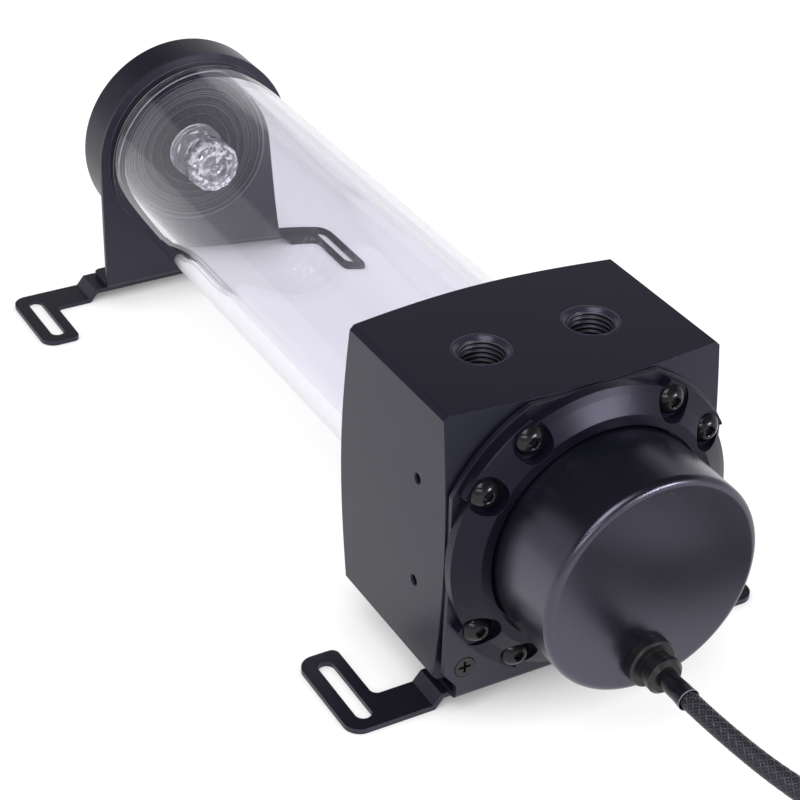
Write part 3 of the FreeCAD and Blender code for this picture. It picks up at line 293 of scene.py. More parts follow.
def make_camera():
    """Camera whose back vector follows the azimuth and elevation, rolled about it."""
    turn, rise = math.radians(VIEW_AZIMUTH_DEG), math.radians(VIEW_ELEVATION_DEG)
    back = Vector((math.sin(turn) * math.cos(rise), -math.cos(turn) * math.cos(rise), math.sin(rise)))
    right = Vector((0, 0, 1)).cross(back).normalized()
    up = back.cross(right)
    roll = math.radians(VIEW_ROLL_DEG)
    right, up = right * math.cos(roll) + up * math.sin(roll), up * math.cos(roll) - right * math.sin(roll)
    data = bpy.data.cameras.new("view")
    data.lens = VIEW_LENS
    data.sensor_width = SENSOR
    data.clip_end = 20.0
    camera = bpy.data.objects.new("view", data)
    bpy.context.scene.collection.objects.link(camera)
    camera.matrix_world = Matrix((
        (right.x, up.x, back.x, VIEW_PLACE.x),
        (right.y, up.y, back.y, VIEW_PLACE.y),
        (right.z, up.z, back.z, VIEW_PLACE.z),
        (0, 0, 0, 1),
    ))
    bpy.context.scene.camera = camera


# route of the lead, as in the part: control points listed one by one, then the turns of its coil
CABLE_RADIUS = 2.45 * MM
LEAD_POINTS = [
    (0.0, 0.0, 26.8), (9.9, 0.0, 26.8), (21.9, 1.9, 25.4), (32.9, 6.0, 22.2), (43.4, 11.0, 19.57),
    (52.9, 15.5, 19.57),
]
COIL_LEAD = 18.0
COIL_RADIUS = 27.5
COIL_TURNS = 3.45
COIL_TAIL = 24.0
POINTS_PER_TURN = 16
FLOOR_HEIGHT = 2.5


def lead_route():
    """Listed points from the gland on, then a helix down to the floor, then the straight end."""
    points = [Vector((GLAND_END_X / MM, 0, 0)) + Vector(p) for p in LEAD_POINTS]
    way = (points[-1] - points[-2]).normalized()
    touch = points[-1] + way * COIL_LEAD
    left = Vector((-way.y, way.x, 0))
    centre = touch + left * COIL_RADIUS
    begin = math.atan2(touch.y - centre.y, touch.x - centre.x)
    count = round(COIL_TURNS * POINTS_PER_TURN)
    points.append(points[-1] + way * COIL_LEAD * 0.5)
    for step in range(count + 1):
        share = step / count
        angle = begin + 2 * math.pi * COIL_TURNS * share
        height = touch.z + (FLOOR_HEIGHT - touch.z) * share
        x = centre.x + COIL_RADIUS * math.cos(angle)
        y = centre.y + COIL_RADIUS * math.sin(angle)
        points.append(Vector((x, y, height)))
    end = begin + 2 * math.pi * COIL_TURNS
    out = Vector((-math.sin(end), math.cos(end), 0))
    start = points[-1]
    points += [start + out * COIL_TAIL * 0.5, start + out * COIL_TAIL]
    return [p * MM for p in points]


def spline_points(route):
    """Points along the smooth spline that has the route as its control points."""
    data = bpy.data.curves.new("route", "CURVE")
    data.dimensions = "3D"
    data.resolution_u = 12
    spline = data.splines.new("NURBS")
    spline.points.add(len(route) - 1)
    for point, place in zip(spline.points, route):
        point.co = (*place, 1.0)
    spline.order_u = 3
    spline.use_endpoint_u = True
    line = bpy.data.objects.new("route", data)
    mesh = bpy.data.meshes.new_from_object(line)
    places = np.zeros(len(mesh.vertices) * 3)
    mesh.vertices.foreach_get("co", places)
    bpy.data.objects.remove(line)
    return places.reshape(-1, 3)


def even_steps(places, step):
    """The same path at equal steps, and its length."""
    along = np.concatenate([[0.0], np.cumsum(np.linalg.norm(np.diff(places, axis=0), axis=1))])
    count = int(round(along[-1] / step)) + 1
    at = np.linspace(0.0, along[-1], count)
    return np.stack([np.interp(at, along, places[:, k]) for k in range(3)], axis=1), at


def grid_faces(rows, columns, closed_u=False, closed_v=False, caps=False):
    """Four-sided faces of a grid of vertices, with optional wrap each way and caps on the end rows."""
    row = np.arange(rows if closed_u else rows - 1)
    column = np.arange(columns if closed_v else columns - 1)
    r, c = np.meshgrid(row, column, indexing="ij")
    r2, c2 = (r + 1) % rows, (c + 1) % columns
    quads = np.stack([r * columns + c, r * columns + c2, r2 * columns + c2, r2 * columns + c], axis=-1)
    faces = quads.reshape(-1, 4).tolist()
    if caps:
        first = list(range(columns))
        last = list(range((rows - 1) * columns, rows * columns))
        faces += [first[::-1], last]
    return faces


def grid_object(name, grids, material, uv=None, sharp_deg=None, **shape):
    """Mesh from one or several grids of points (rows, columns, 3) of the same shape. The grid's own
    parameters go into a UV map, and edges sharper than sharp_deg are kept crisp."""
    grids = grids[None] if grids.ndim == 3 else grids
    copies, rows, columns = grids.shape[:3]
    one = grid_faces(rows, columns, **shape)
    faces = [[corner + copy * rows * columns for corner in face] for copy in range(copies) for face in one]
    data = bpy.data.meshes.new(name)
    data.from_pydata(grids.reshape(-1, 3).tolist(), [], faces)
    data.shade_smooth()
    if sharp_deg:
        data.set_sharp_from_angle(angle=math.radians(sharp_deg))
    if uv is not None:
        layer = data.uv_layers.new(name="along")
        index = np.zeros(len(data.loops), dtype=np.int32)
        data.loops.foreach_get("vertex_index", index)
        layer.data.foreach_set("uv", uv.reshape(-1, 2)[index].astype(np.float32).ravel())
    data.materials.append(material)
    data.update()
    made = bpy.data.objects.new(name, data)
    bpy.context.scene.collection.objects.link(made)
    return made


def thread_dip(turns):
    """Depth of a screw thread from 0 at its crest to 1 at its root: a sharp vee with blunted tips."""
    return np.clip(np.abs((turns % 1.0) - 0.5) * 2.6 - 0.15, 0.0, 1.0)


BOLT_CIRCLE = 36.8 * MM
BOLT_OFFSET_DEG = 12.7
HEAD_HEIGHT = 2.2 * MM
SHANK_RADIUS = 2.0 * MM
SHANK_LENGTH = 12.0 * MM
SHANK_PITCH = 0.7 * MM
SHANK_THREAD = 0.36 * MM
SOCKET_DEPTH = 1.3 * MM
BOLT_AROUND = 48


def bolt_profile():
    """Rows of a button-head bolt in millimetres: place along its axis, radius, and share of the hexagon in the
    outline. The shank is a cylinder, the head a ball's cap, the socket a hexagonal well with a bevelled rim."""
    shank = np.arange(0.6, SHANK_LENGTH / MM, 0.0875)[::-1]
    rows = [(-SHANK_LENGTH / MM, 1.2, 0.0), (0.5 - SHANK_LENGTH / MM, 1.7, 0.0)]
    rows += [(-x, SHANK_RADIUS / MM, 0.0) for x in shank[6:]]
    rows += [(-0.3, 1.75, 0.0), (0.0, 1.9, 0.0), (0.0, 3.68, 0.0), (0.1, 3.8, 0.0), (0.35, 3.8, 0.0)]
    centre, ball = -1.8, 4.366
    for share in np.linspace(0.08, 0.94, 9):
        angle = math.radians(60.5 + (23.6 - 60.5) * share)
        rows.append((centre + ball * math.cos(angle), ball * math.sin(angle), 0.0))
    top = HEAD_HEIGHT / MM
    rows += [(top, 1.66, 0.0), (top, 1.58, 0.0), (top - 0.06, 1.52, 0.25), (top - 0.2, 1.25, 1.0),
             (top - SOCKET_DEPTH / MM, 1.25, 1.0), (top - SOCKET_DEPTH / MM - 0.25, 0.35, 0.4)]
    return np.array(rows)


def make_bolts(material):
    """The ring's eight bolts: turned outlines about their own axes, with a helical dip for the thread of the
    shank and a hexagon for the socket, in pairs beside each diagonal."""
    rows = bolt_profile()
    turn = np.linspace(0, 2 * math.pi, BOLT_AROUND, endpoint=False)
    x, v = np.meshgrid(rows[:, 0] * MM, turn, indexing="ij")
    radius, share = rows[:, 1:2] * MM, rows[:, 2:3]
    hexagon = 1.0 / np.cos((v % (math.pi / 3)) - math.pi / 6)
    reach = radius * (1 + share * (hexagon - 1))
    threaded = (x < -0.5 * MM) & (radius > 1.9 * MM)
    reach = reach - np.where(threaded, SHANK_THREAD * thread_dip(x / SHANK_PITCH + v / (2 * math.pi)), 0.0)
    base = HEAD_SEAT_X - HEAD_HEIGHT
    grids = []
    for corner in range(4):
        for side in (-1, 1):
            angle = math.radians(45 + 90 * corner + side * BOLT_OFFSET_DEG)
            y, z = BOLT_CIRCLE * math.cos(angle), AXIS_Z + BOLT_CIRCLE * math.sin(angle)
            grids.append(np.stack([x + base, y + reach * np.cos(v), z + reach * np.sin(v)], axis=-1))
    bolts = grid_object("button_bolts", np.stack(grids), material, sharp_deg=32, closed_v=True, caps=True)
    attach(bolts, FIXED)
    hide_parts("ring_screws")


PORT_SETBACK = 24.9 * MM
PORT_SIDE = 15.55 * MM
PORT_PITCH = 1.337 * MM
PORT_ROOT = 5.87 * MM
PORT_THREAD = 0.36 * MM
PORT_MOUTH_DEPTH = 0.95 * MM
PORT_FLOOR_DEPTH = 10.2 * MM
PORT_ROWS = 96
PORT_AROUND = 96
LIP_OUTER = 7.49 * MM
LIP_INNER = 6.82 * MM
LIP_BEVEL = 0.06 * MM
LIP_LAND = 0.8 * MM
LIP_TAIL = 0.6 * MM
LIP_WALL = 0.03 * MM
LIP_PROUD = 0.008 * MM
THREAD_START = 0.5 * MM
THREAD_SKIN = 0.02 * MM


def about_ports(depth, radius, turn):
    """Points at depths and radii about the axes of both ports."""
    grids = []
    for side in (-1, 1):
        grids.append(np.stack([FACE_X - PORT_SETBACK + radius * np.cos(turn),
                               side * PORT_SIDE + radius * np.sin(turn), PORT_TOP_Z - depth], axis=-1))
    return np.stack(grids)


def make_port_lips(material):
    """Mouths of the ports: a ring flush with the block's top whose inside is the lead-in chamfer."""
    rows = np.array([(0.0, LIP_INNER + LIP_BEVEL), (LIP_BEVEL, LIP_INNER - LIP_BEVEL),
                     (PORT_MOUTH_DEPTH, PORT_ROOT), (PORT_MOUTH_DEPTH + LIP_TAIL, PORT_ROOT + LIP_WALL),
                     (0.75 * (LIP_OUTER - LIP_INNER), LIP_OUTER - LIP_LAND), (0.0, LIP_OUTER)])
    rows[:, 0] -= LIP_PROUD
    turn = np.linspace(0, 2 * math.pi, PORT_AROUND, endpoint=False)
    d, v = np.meshgrid(rows[:, 0], turn, indexing="ij")
    radius = np.repeat(rows[:, 1:2], PORT_AROUND, axis=1)
    lips = grid_object("port_lips", about_ports(d, radius, v), material, sharp_deg=25, closed_u=True,
                       closed_v=True)
    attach(lips, FIXED)


def cut_thread(name):
    """Thread cut in dark metal, along the helix of the port: its crest is painted bright as a painted
    highlight, and its root is painted near black as painted shade.
    """
    f = Finish(name, IOR=1.6, Specular_Tint=COOL_GLOSS)
    along, around, _ = f.parts_of(f.wire("ShaderNodeUVMap", {"uv_map": "along"}, {}))
    phase = ((along - around) * (2 * math.pi)).sine()
    highlight_noise = f.noise(900.0, 2.0)
    crest = ((phase - 0.35) * 2.2).clamped() * (highlight_noise * 0.8 + 0.4)
    # painted highlight on the crest and painted shade in the root; the noise makes the painted highlight uneven
    f.set(Base_Color=f.mix(crest.clamped(), (0.0015, 0.0015, 0.002), (0.07, 0.068, 0.08)),
          Roughness=0.42 - crest * 0.12)
    return f.material


def make_port_threads(material):
    """Threads of the two ports: a thin sleeve in each bore whose inside is a cylinder with a helical dip."""
    deep = np.linspace(PORT_MOUTH_DEPTH, PORT_FLOOR_DEPTH, PORT_ROWS)
    turn = np.linspace(0, 2 * math.pi, PORT_AROUND, endpoint=False)
    d, v = np.meshgrid(np.concatenate([deep, deep[::-1]]), turn, indexing="ij")
    fade = np.clip((d - PORT_MOUTH_DEPTH) / THREAD_START, 0, 1)
    crest = PORT_ROOT - PORT_THREAD * fade * (1 - thread_dip(d / PORT_PITCH - v / (2 * math.pi)))
    inside = (np.arange(2 * PORT_ROWS) < PORT_ROWS)[:, None]
    radius = np.where(inside, crest, PORT_ROOT + THREAD_SKIN)
    uv = np.stack([d / PORT_PITCH - 0.25, v / (2 * math.pi)], axis=-1)
    threads = grid_object("port_threads", about_ports(d, radius, v), material, np.stack([uv, uv]),
                          sharp_deg=40, closed_u=True, closed_v=True)
    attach(threads, FIXED)


BRAID_RELIEF = 0.12 * MM
BRAID_AROUND = 48
BRAID_STEP = 0.34 * MM
STRANDS = 14
STRAND_SLOPE = 0.9
SWELL = 0.75 * MM
SWELL_MIDDLE = 62 * MM
SWELL_SPREAD = 22 * MM


def braid_height(along, around):
    """Height of a braid from 0 to 1: two families of round-backed strands wind opposite ways, and each passes
    over and under the other in turn. Along is in millimetres, around in turns."""
    left = math.pi * (STRANDS * around + STRAND_SLOPE * along)
    right = math.pi * (STRANDS * around - STRAND_SLOPE * along)
    over = 0.5 + 0.5 * np.tanh(5 * np.sin((left + right) / 2) * np.sin((left - right) / 2))
    a = np.abs(np.cos(left)) ** 0.6 * (0.55 + 0.45 * over)
    b = np.abs(np.cos(right)) ** 0.6 * (0.55 + 0.45 * (1 - over))
    return np.maximum(a, b)


def braided(name):
    """Sleeve braided from glossy black filament: the same strands as the surface's relief, each a bundle of
    fine filaments that glint. The strand tops are painted lighter, a painted highlight, and the rougher ground
    between strands is painted near black, a painted shade."""
    f = Finish(name, IOR=1.5, Specular_Tint=COOL_GLOSS)
    along, around, _ = f.parts_of(f.wire("ShaderNodeUVMap", {"uv_map": "along"}, {}))
    turns = around * STRANDS * math.pi
    climb = along * STRAND_SLOPE * math.pi
    left, right = turns + climb, turns - climb
    over = (turns.sine() * climb.sine() * 6.0 + 0.5).clamped()
    ridge_left = (left + math.pi / 2).sine().size() * (over * 0.5 + 0.5)
    ridge_right = (right + math.pi / 2).sine().size() * (1.0 - over * 0.5)
    ridge = f.wire("ShaderNodeMath", {"operation": "MAXIMUM"}, {0: ridge_left, 1: ridge_right})
    filament = f.between(over, (right * 4.0).sine(), (left * 4.0).sine()) * 0.5 + 0.5
    sparkle = f.noise(1400.0, 2.0)
    # painted highlight on the strand tops and painted shade in the gaps between strands, broken up by the
    # sparkle noise
    lit = (ridge ** 1.6 * (filament * 0.5 + 0.5)) * (sparkle + 0.4)
    f.set(Base_Color=f.mix(lit.clamped(), (0.003, 0.003, 0.0035), (0.055, 0.054, 0.062)),
          Roughness=0.62 - ridge * 0.34)
    f.bump(ridge + filament * 0.2, 0.16 * MM, 1.0)
    return f.material


def make_lead(material, sleeve):
    """The braided lead: a round tube about its route's spline, swollen where the braid is slack, its surface
    raised by the braid."""
    route = lead_route()
    centre, along = even_steps(spline_points(route), BRAID_STEP)
    ahead = np.gradient(centre, axis=0)
    ahead /= np.linalg.norm(ahead, axis=1, keepdims=True)
    side = np.cross((0.0, 0.0, 1.0), ahead)
    side /= np.linalg.norm(side, axis=1, keepdims=True)
    up = np.cross(ahead, side)
    turn = np.linspace(0, 2 * math.pi, BRAID_AROUND, endpoint=False)
    s, v = np.meshgrid(along, turn, indexing="ij")
    swell = SWELL * np.exp(-((s - SWELL_MIDDLE) / SWELL_SPREAD) ** 2)
    radius = CABLE_RADIUS + swell - BRAID_RELIEF * (1 - braid_height(s / MM, v / (2 * math.pi)))
    ring = np.cos(v)[..., None] * side[:, None] + np.sin(v)[..., None] * up[:, None]
    points = centre[:, None] + radius[..., None] * ring
    uv = np.stack([s / MM, v / (2 * math.pi)], axis=-1)
    lead = grid_object("lead", points, material, uv, closed_v=True, caps=True)
    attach(lead, FIXED)
    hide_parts("cable_lead", "cable_coil")


TUBE_LOW, TUBE_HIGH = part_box("reservoir_tube")
TUBE_RADIUS = (TUBE_HIGH.z - TUBE_LOW.z) / 2
TUBE_WALL = 5.0 * MM
TUBE_EDGE = 0.14 * MM
TUBE_AROUND = 256
END_PRESS = 0.02 * MM
GROUND_SKIN = 0.015 * MM


def about_axis(rows, around, reach=None):
    """Points of a profile (x, radius) turned about the tube's axis, with an optional factor on the radius."""
    turn = np.linspace(0, 2 * math.pi, around, endpoint=False)
    x, v = np.meshgrid(rows[:, 0], turn, indexing="ij")
    radius = np.repeat(rows[:, 1:2], around, axis=1)
    if reach is not None:
        radius = radius * reach(x, radius, v)
    return np.stack([x, radius * np.cos(v), AXIS_Z + radius * np.sin(v)], axis=-1)


def make_tube(glass, ground):
    """The tube: its wall's section, a rectangle with bevelled corners, turned about the axis. Its ends press
    on what holds them, with no air between. The bevels are ground, so each is a thin frosted ring."""
    a, b = TUBE_LOW.x - END_PRESS, TUBE_HIGH.x + END_PRESS
    r, bore, e = TUBE_RADIUS, TUBE_RADIUS - TUBE_WALL, TUBE_EDGE
    section = np.array([(a, r - e), (a + e, r), (b - e, r), (b, r - e), (b, bore + e), (b - e, bore),
                        (a + e, bore), (a, bore + e)])
    tube = grid_object("tube", about_axis(section, TUBE_AROUND), glass, sharp_deg=30, closed_u=True,
                       closed_v=True)
    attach(tube, FIXED)
    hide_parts("reservoir_tube")
    rings = []
    for first, last in ((0, 1), (2, 3), (4, 5), (6, 7)):
        start, stop = section[first], section[last]
        along = (stop - start) / np.linalg.norm(stop - start)
        out = np.array((-along[1], along[0])) * GROUND_SKIN
        rings.append(about_axis(np.array([start + out, stop + out, stop - out, start - out]), TUBE_AROUND))
    edges = grid_object("tube_ground_edges", np.stack(rings), ground, sharp_deg=30, closed_u=True,
                        closed_v=True)
    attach(edges, FIXED)


PLUG_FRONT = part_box("light_plug")[1].x
PLUG_AROUND = 144
PLUG_FACETS = 12
KNOB_LENGTH = 7.6 * MM
CROWN_RADIUS_MM = 6.9
CROWN_SPREAD_MM = 0.8
CROWN_DEPTH = 0.45 * MM
MARK_PITCH = 0.45 * MM


def plug_profile():
    """Rows of the light plug from the bottom of its lamp bore round to the middle of its front: place along
    the axis from the front, radius, share of the hexagon and share of the facets, in millimetres."""
    rows = [(-8.0, 0.05, 0, 0), (-8.0, 2.4, 0, 0), (-8.2, 2.6, 0, 0), (-26.8, 2.6, 0, 0),
            (-27.0, 2.8, 0, 0), (-27.0, 6.1, 0, 0), (-26.6, 6.5, 0, 0), (-16.05, 6.5, 0, 0),
            (-15.98, 6.7, 0, 0), (-15.98, 8.45, 0, 0), (-15.75, 8.7, 0, 0), (-13.75, 8.7, 0, 0),
            (-13.5, 8.45, 0, 0), (-13.5, 6.6, 1, 0), (-13.4, 6.5, 1, 0), (-9.6, 6.5, 1, 0),
            (-9.5, 6.4, 0.7, 0), (-9.4, 6.3, 0, 0), (-7.6, 6.3, 0, 0), (-7.5, 7.0, 0, 0),
            (-7.3, 7.9, 0, 0.5), (-6.6, 8.38, 0, 1), (-1.5, 8.38, 0, 1), (-0.9, 8.1, 0, 1),
            (-0.1, 7.0, 0, 0.6)]
    rows += [(-0.16 - 0.14 * math.cos(r * 2.6), r, 0, 0) for r in np.linspace(6.6, 2.6, 21)]
    rows += [(-0.5, 2.2, 0, 0), (-1.0, 1.9, 0, 0), (-1.25, 1.2, 0, 0), (-0.85, 0.5, 0, 0),
             (-0.75, 0.05, 0, 0)]
    return np.array(rows)


def make_light_plug(material):
    """The clear light plug: its profile turned about the axis, drawn out to a hexagon at the spanner flats
    and to flat facets on the knob, whose front has ripples and a crown of radial cuts."""
    rows = plug_profile()
    hexagonal, faceted = rows[:, 2:3], rows[:, 3:4]

    def reach(x, radius, v):
        hexagon = 1 / np.cos((v % (math.pi / 3)) - math.pi / 6)
        step = math.pi / PLUG_FACETS
        facet = math.cos(step) / np.cos((v % (2 * step)) - step)
        return (1 + hexagonal * (np.minimum(hexagon, 1.12) - 1)) * (1 + faceted * (facet - 1))

    profile = np.stack([PLUG_FRONT + rows[:, 0] * MM, rows[:, 1] * MM], axis=1)
    points = about_axis(profile, PLUG_AROUND, reach)
    turn = np.linspace(0, 2 * math.pi, PLUG_AROUND, endpoint=False)
    crown = np.exp(-((rows[:, 1:2] - CROWN_RADIUS_MM) / CROWN_SPREAD_MM) ** 2) * (rows[:, :1] > -1.0)
    points[..., 0] -= crown * CROWN_DEPTH * np.abs(np.sin(turn * PLUG_FACETS / 2))
    plug = grid_object("clear_light_plug", points, material, sharp_deg=26, closed_v=True, caps=True)
    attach(plug, FIXED)
    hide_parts("light_plug")


def milky_acrylic(name):
    """Machined acrylic: clear in the stem, and milky with fine tool marks on the knob, whose crown and centre
    ring glint."""
    f = Finish(name, Transmission_Weight=0.84, IOR=1.5)
    x, _, _ = f.parts_of(f.place())
    knob = ((x - (PLUG_FRONT - KNOB_LENGTH)) * 4000.0).clamped()
    cloud = f.noise(420.0, 3.0)
    radius = f.off_axis()
    marks = ((radius * (2 * math.pi / MARK_PITCH)).sine() * 0.5 + 0.5) * knob
    cuts = ((f.noise(620.0, 2.0) - 0.5) * 14.0).clamped() * (radius - 4.6 * MM).above(0.0)
    rings = (radius - 2.1 * MM).size().below(0.22 * MM) + (radius - 0.6 * MM).size().below(0.15 * MM)
    glint = (cuts + rings * 0.6).clamped() * knob
    f.set(Base_Color=f.mix(glint, (0.93, 0.93, 0.95), (1.0, 1.0, 1.0)), Metallic=glint * 0.85,
          Roughness=knob * (cloud * 0.12 + 0.04) + 0.015)
    f.bump(cloud * knob * 0.4 + marks, 0.02 * MM, 0.6)
    return f.material


def frosted(name):
    """Ground glass edge."""
    f = Finish(name, IOR=1.47)
    grain = f.noise(2600.0, 2.0)
    f.set(Base_Color=f.mix(grain, (0.55, 0.55, 0.58), (0.86, 0.86, 0.9)), Roughness=grain * 0.2 + 0.4)
    return f.material


CAP_EDGE = 24.72 * MM
CAP_STEP = 12.0 * MM
CAP_MARKS_START = 13.0 * MM
CAP_MARKS_FADE = 6.0 * MM


def cap_face(name, base, rough):
    """Turned cap: fine rings and wider tool marks on the outer half of its face, painted lighter there as a
    painted reflection of the turned arcs, with a painted highlight on the spigot's edge and a fainter one at
    the step.
    """
    f = Finish(name, IOR=1.37, Specular_Tint=COOL_GLOSS)
    radius = f.off_axis()
    x, _, _ = f.parts_of(f.place())
    inner_face = (x - TUBE_LOW.x).above(0.5 * MM)
    across = f.wire("ShaderNodeCombineXYZ", {}, {0: radius})
    marks = ((f.noise(1500.0, 1.0, across) - 0.54) * 9.0).clamped()
    outer_half = ((radius - CAP_MARKS_START) * (1 / CAP_MARKS_FADE)).clamped()
    edge = (radius - CAP_EDGE).size().below(0.14 * MM)
    step = (radius - CAP_STEP).size().below(0.07 * MM)
    # painted highlight: the spigot's edge and the step are painted lighter, and the outer tool marks are
    # painted lighter as painted reflection
    painted_highlight = ((marks * outer_half * 0.4 + edge * 0.75 + step * 0.3) * inner_face).clamped()
    f.set(Base_Color=f.mix(painted_highlight, base, (0.62, 0.62, 0.66)), Roughness=marks * 0.08 + rough)
    f.bump(marks * inner_face, 0.01 * MM, 0.6, SHEET_EDGE)
    return f.material


SLEEVE_LOW, SLEEVE_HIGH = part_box("heat_shrink_sleeve")
SLEEVE_FLARE = 0.3 * MM
SLEEVE_AROUND = 64
SLEEVE_ROWS = 40
SLEEVE_WALL = 0.16 * MM
SLEEVE_WRINKLE = 0.05 * MM
CUT_WIDTH = 0.22 * MM


def make_sleeve(material):
    """Shrunk sleeve on the lead: a thin tube that opens a little towards its cut end, with low wrinkles."""
    low, high = SLEEVE_LOW.x, SLEEVE_HIGH.x
    middle_z = (SLEEVE_LOW.z + SLEEVE_HIGH.z) / 2
    small = (SLEEVE_HIGH.z - SLEEVE_LOW.z) / 2
    share = np.linspace(0, 1, SLEEVE_ROWS)
    outer = small + SLEEVE_FLARE * share ** 3
    inner = outer - SLEEVE_WALL
    rows = np.stack([np.concatenate([share, share[::-1]]), np.concatenate([outer, inner[::-1]])], axis=1)
    turn = np.linspace(0, 2 * math.pi, SLEEVE_AROUND, endpoint=False)
    s, v = np.meshgrid(rows[:, 0], turn, indexing="ij")
    wrinkle = SLEEVE_WRINKLE * np.sin(3 * v + 9 * s) * np.sin(math.pi * s)
    radius = rows[:, 1:2] + wrinkle
    points = np.stack([low + (high - low) * s, radius * np.cos(v), middle_z + radius * np.sin(v)], axis=-1)
    sleeve = grid_object("shrunk_sleeve", points, material, sharp_deg=40, closed_u=True, closed_v=True)
    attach(sleeve, FIXED)
    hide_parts("heat_shrink_sleeve")
    return sleeve


def shrunk(name):
    """Glossy black shrink sleeve with a pale cut end."""
    f = Finish(name, IOR=1.5, Specular_Tint=COOL_GLOSS)
    x, _, _ = f.parts_of(f.place())
    cut = (x - (SLEEVE_HIGH.x - CUT_WIDTH)).above(0.0)
    cloud = f.noise(160.0, 2.0)
    f.set(Base_Color=f.mix(cut, (0.0045, 0.0045, 0.0055), (0.24, 0.24, 0.28)),
          Roughness=cloud * 0.15 + 0.26)
    f.bump(cloud, 0.2 * MM, 0.4)
    return f.material


def paint(material, *names):
    """Gives CAD nodes a finish."""
    for name in names:
        slots = NODES[name].data.materials
        slots.clear()
        slots.append(material)


def paint_all(glass, plug, sleeve):
    """Finishes of every CAD node, also of those that a finer piece replaces."""
    paint(anodised("block_anodising", (0.0058, 0.0056, 0.0135), 0.34), "pump_block")
    paint(turned("ring_anodising", (0.005, 0.005, 0.011), 0.31), "clamp_ring")
    paint(cap_face("cap_anodising", (0.0055, 0.0053, 0.013), 0.33), "end_cap")
    paint(powder_coat("sheet_coat", (0.0045, 0.0043, 0.009), 0.42), "front_bracket", "rear_bracket",
          "front_foot_strip", "rear_foot_strip")
    paint(glass, "reservoir_tube")
    paint(plug, "light_plug")
    paint(metal("black_oxide", (0.05, 0.05, 0.054), 0.32, 0.8), "ring_screws", "bracket_screws")
    paint(drawn("can_coat", (0.003, 0.003, 0.0065), 0.27), "pump_can")
    paint(moulded("seal_rubber", (0.012, 0.012, 0.013), 0.5), "tube_oring", "pump_oring", "cap_oring",
          "light_plug_oring")
    paint(moulded("housing_plastic", (0.02, 0.02, 0.02), 0.5), "motor_housing")
    paint(metal("cup_steel", (0.6, 0.6, 0.61), 0.25), "rotor_cup", "bearing_post")
    paint(moulded("ceramic", (0.75, 0.73, 0.68), 0.12), "bearing_ball")
    paint(moulded("ferrite", (0.05, 0.047, 0.047), 0.55), "rotor_magnet")
    paint(moulded("impeller_plastic", (0.03, 0.03, 0.034), 0.3), "impeller")
    paint(metal("core_iron", (0.28, 0.28, 0.29), 0.45), "stator_core")
    paint(metal("winding_copper", (0.6, 0.22, 0.08), 0.3, scale=2600.0), "stator_windings")
    paint(moulded("board_green", (0.008, 0.06, 0.02), 0.3), "control_board")
    paint(metal("capacitor_can", (0.6, 0.6, 0.62), 0.3), "board_capacitors")
    paint(moulded("gland_rubber", (0.0055, 0.0055, 0.0068), 0.38), "cable_gland")
    paint(sleeve, "heat_shrink_sleeve")
    paint(moulded("connector_plastic", (0.016, 0.016, 0.018), 0.42), "connector")


FLOOR_SIZE = 12.0
FLOOR_SHADE = 0.3
FLOOR_GLOW = 0.78
CONTACT_REACH = 16 * MM


def make_floor():
    """Floor that is white to the eye, in metal and through glass, and keeps the object's shadow. Its glow is
    dimmed near the parts by ambient occlusion: a painted contact shadow.
    """
    data = bpy.data.meshes.new("floor")
    h = FLOOR_SIZE / 2
    data.from_pydata([(-h, -h, 0), (h, -h, 0), (h, h, 0), (-h, h, 0)], [], [(0, 1, 2, 3)])
    floor = bpy.data.objects.new("floor", data)
    bpy.context.scene.collection.objects.link(floor)
    f = Finish("floor_white", Base_Color=(FLOOR_SHADE,) * 3, Roughness=1.0, Emission_Strength=FLOOR_GLOW,
               Specular_IOR_Level=0.0)
    seen = f.rays("Is Camera Ray", "Is Glossy Ray", "Is Transmission Ray")
    # painted contact shadow: ambient occlusion dims the floor's glow near the parts
    painted_shadow_factor = f.wire("ShaderNodeAmbientOcclusion", {"samples": 8}, {"Distance": CONTACT_REACH}, "AO")
    f.set(Emission_Color=f.mix(seen * painted_shadow_factor ** 0.6, (0.0, 0.0, 0.0), (1.0, 1.0, 1.0)))
    data.materials.append(f.material)


WORLD_LEVEL = 0.6
CEILING_LEVEL = 0.04
CEILING_START = 0.43
CEILING_STEEPNESS = 28.0


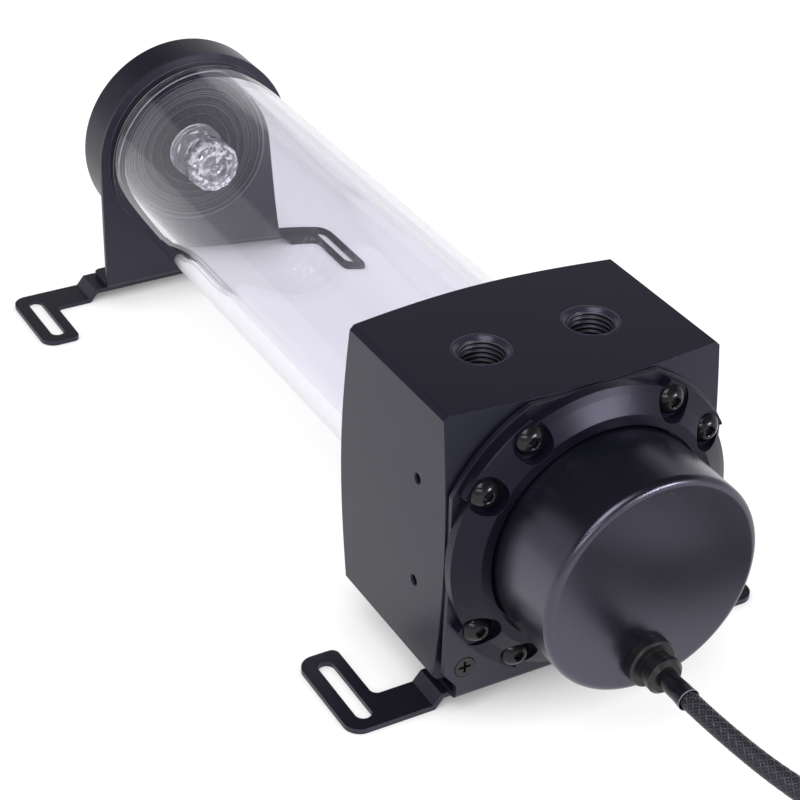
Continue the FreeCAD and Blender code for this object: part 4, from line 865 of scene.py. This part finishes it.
def make_world():
    """Plain even surroundings. Reflections see a pale horizon under a dark ceiling, and the eye sees white,
    also through glass."""
    world = bpy.data.worlds.new("studio")
    bpy.context.scene.world = world
    world.use_nodes = True
    n = Nodes(world.node_tree)
    up = n.parts_of(n.wire("ShaderNodeTexCoord", {}, {}, "Generated"))[2]
    ceiling = ((up - CEILING_START) * CEILING_STEEPNESS).clamped() * n.rays("Is Glossy Ray")
    seen = n.rays("Is Camera Ray", "Is Transmission Ray")
    grounds = [n.node("ShaderNodeBackground", {}, {"Color": (1.0, 1.0, 1.0), "Strength": level})
               for level in (WORLD_LEVEL, CEILING_LEVEL, 1.0)]
    even, dark, white = [Wire(n, ground.outputs[0]) for ground in grounds]
    around = n.wire("ShaderNodeMixShader", {}, {0: ceiling, 1: even, 2: dark})
    whole = n.wire("ShaderNodeMixShader", {}, {0: seen, 1: around, 2: white})
    n.feed(n.tree.nodes["World Output"], "Surface", whole)


def area_light(name, place, aim, width, height, power):
    """White soft box that looks at a point."""
    data = bpy.data.lights.new(name, "AREA")
    data.shape = "RECTANGLE"
    data.size = width
    data.size_y = height
    data.energy = power
    light = bpy.data.objects.new(name, data)
    bpy.context.scene.collection.objects.link(light)
    place, aim = Vector(place), Vector(aim)
    facing = (place - aim).to_track_quat("Z", "Y").to_matrix().to_4x4()
    light.matrix_world = Matrix.Translation(place) @ facing


tube_glass = clear("tube_glass", (0.885, 0.868, 0.94), 1.47)
plug_acrylic = milky_acrylic("plug_acrylic")
sleeve_plastic = shrunk("sleeve_plastic")

make_camera()
make_lead(braided("cable_braid"), make_sleeve(sleeve_plastic))
make_bolts(metal("black_oxide_bolt", (0.02, 0.02, 0.023), 0.2, 0.6))
# the lip's base colour is lighter than the block's: a painted highlight on the mouth's chamfer, besides its
# lower roughness
make_port_lips(anodised("port_lip_anodising", (0.02, 0.0195, 0.032), 0.22))
make_port_threads(cut_thread("cut_thread"))
make_tube(tube_glass, frosted("ground_edge"))
make_light_plug(plug_acrylic)
paint_all(tube_glass, plug_acrylic, sleeve_plastic)
make_floor()
make_world()
area_light("key", (0.45, -0.55, 1.35), (0, 0, 0), 0.9, 0.9, 12.0)
area_light("bolt_strip", (1.09, 0.55, 0.45), (0.1, 0, 0.05), 0.45, 0.1, 6.0)
area_light("rim_strip", (0.95, -0.73, 0.64), (0.1, 0, 0.05), 0.7, 0.14, 2.6)
bpy.context.scene.view_settings.view_transform = "Standard"
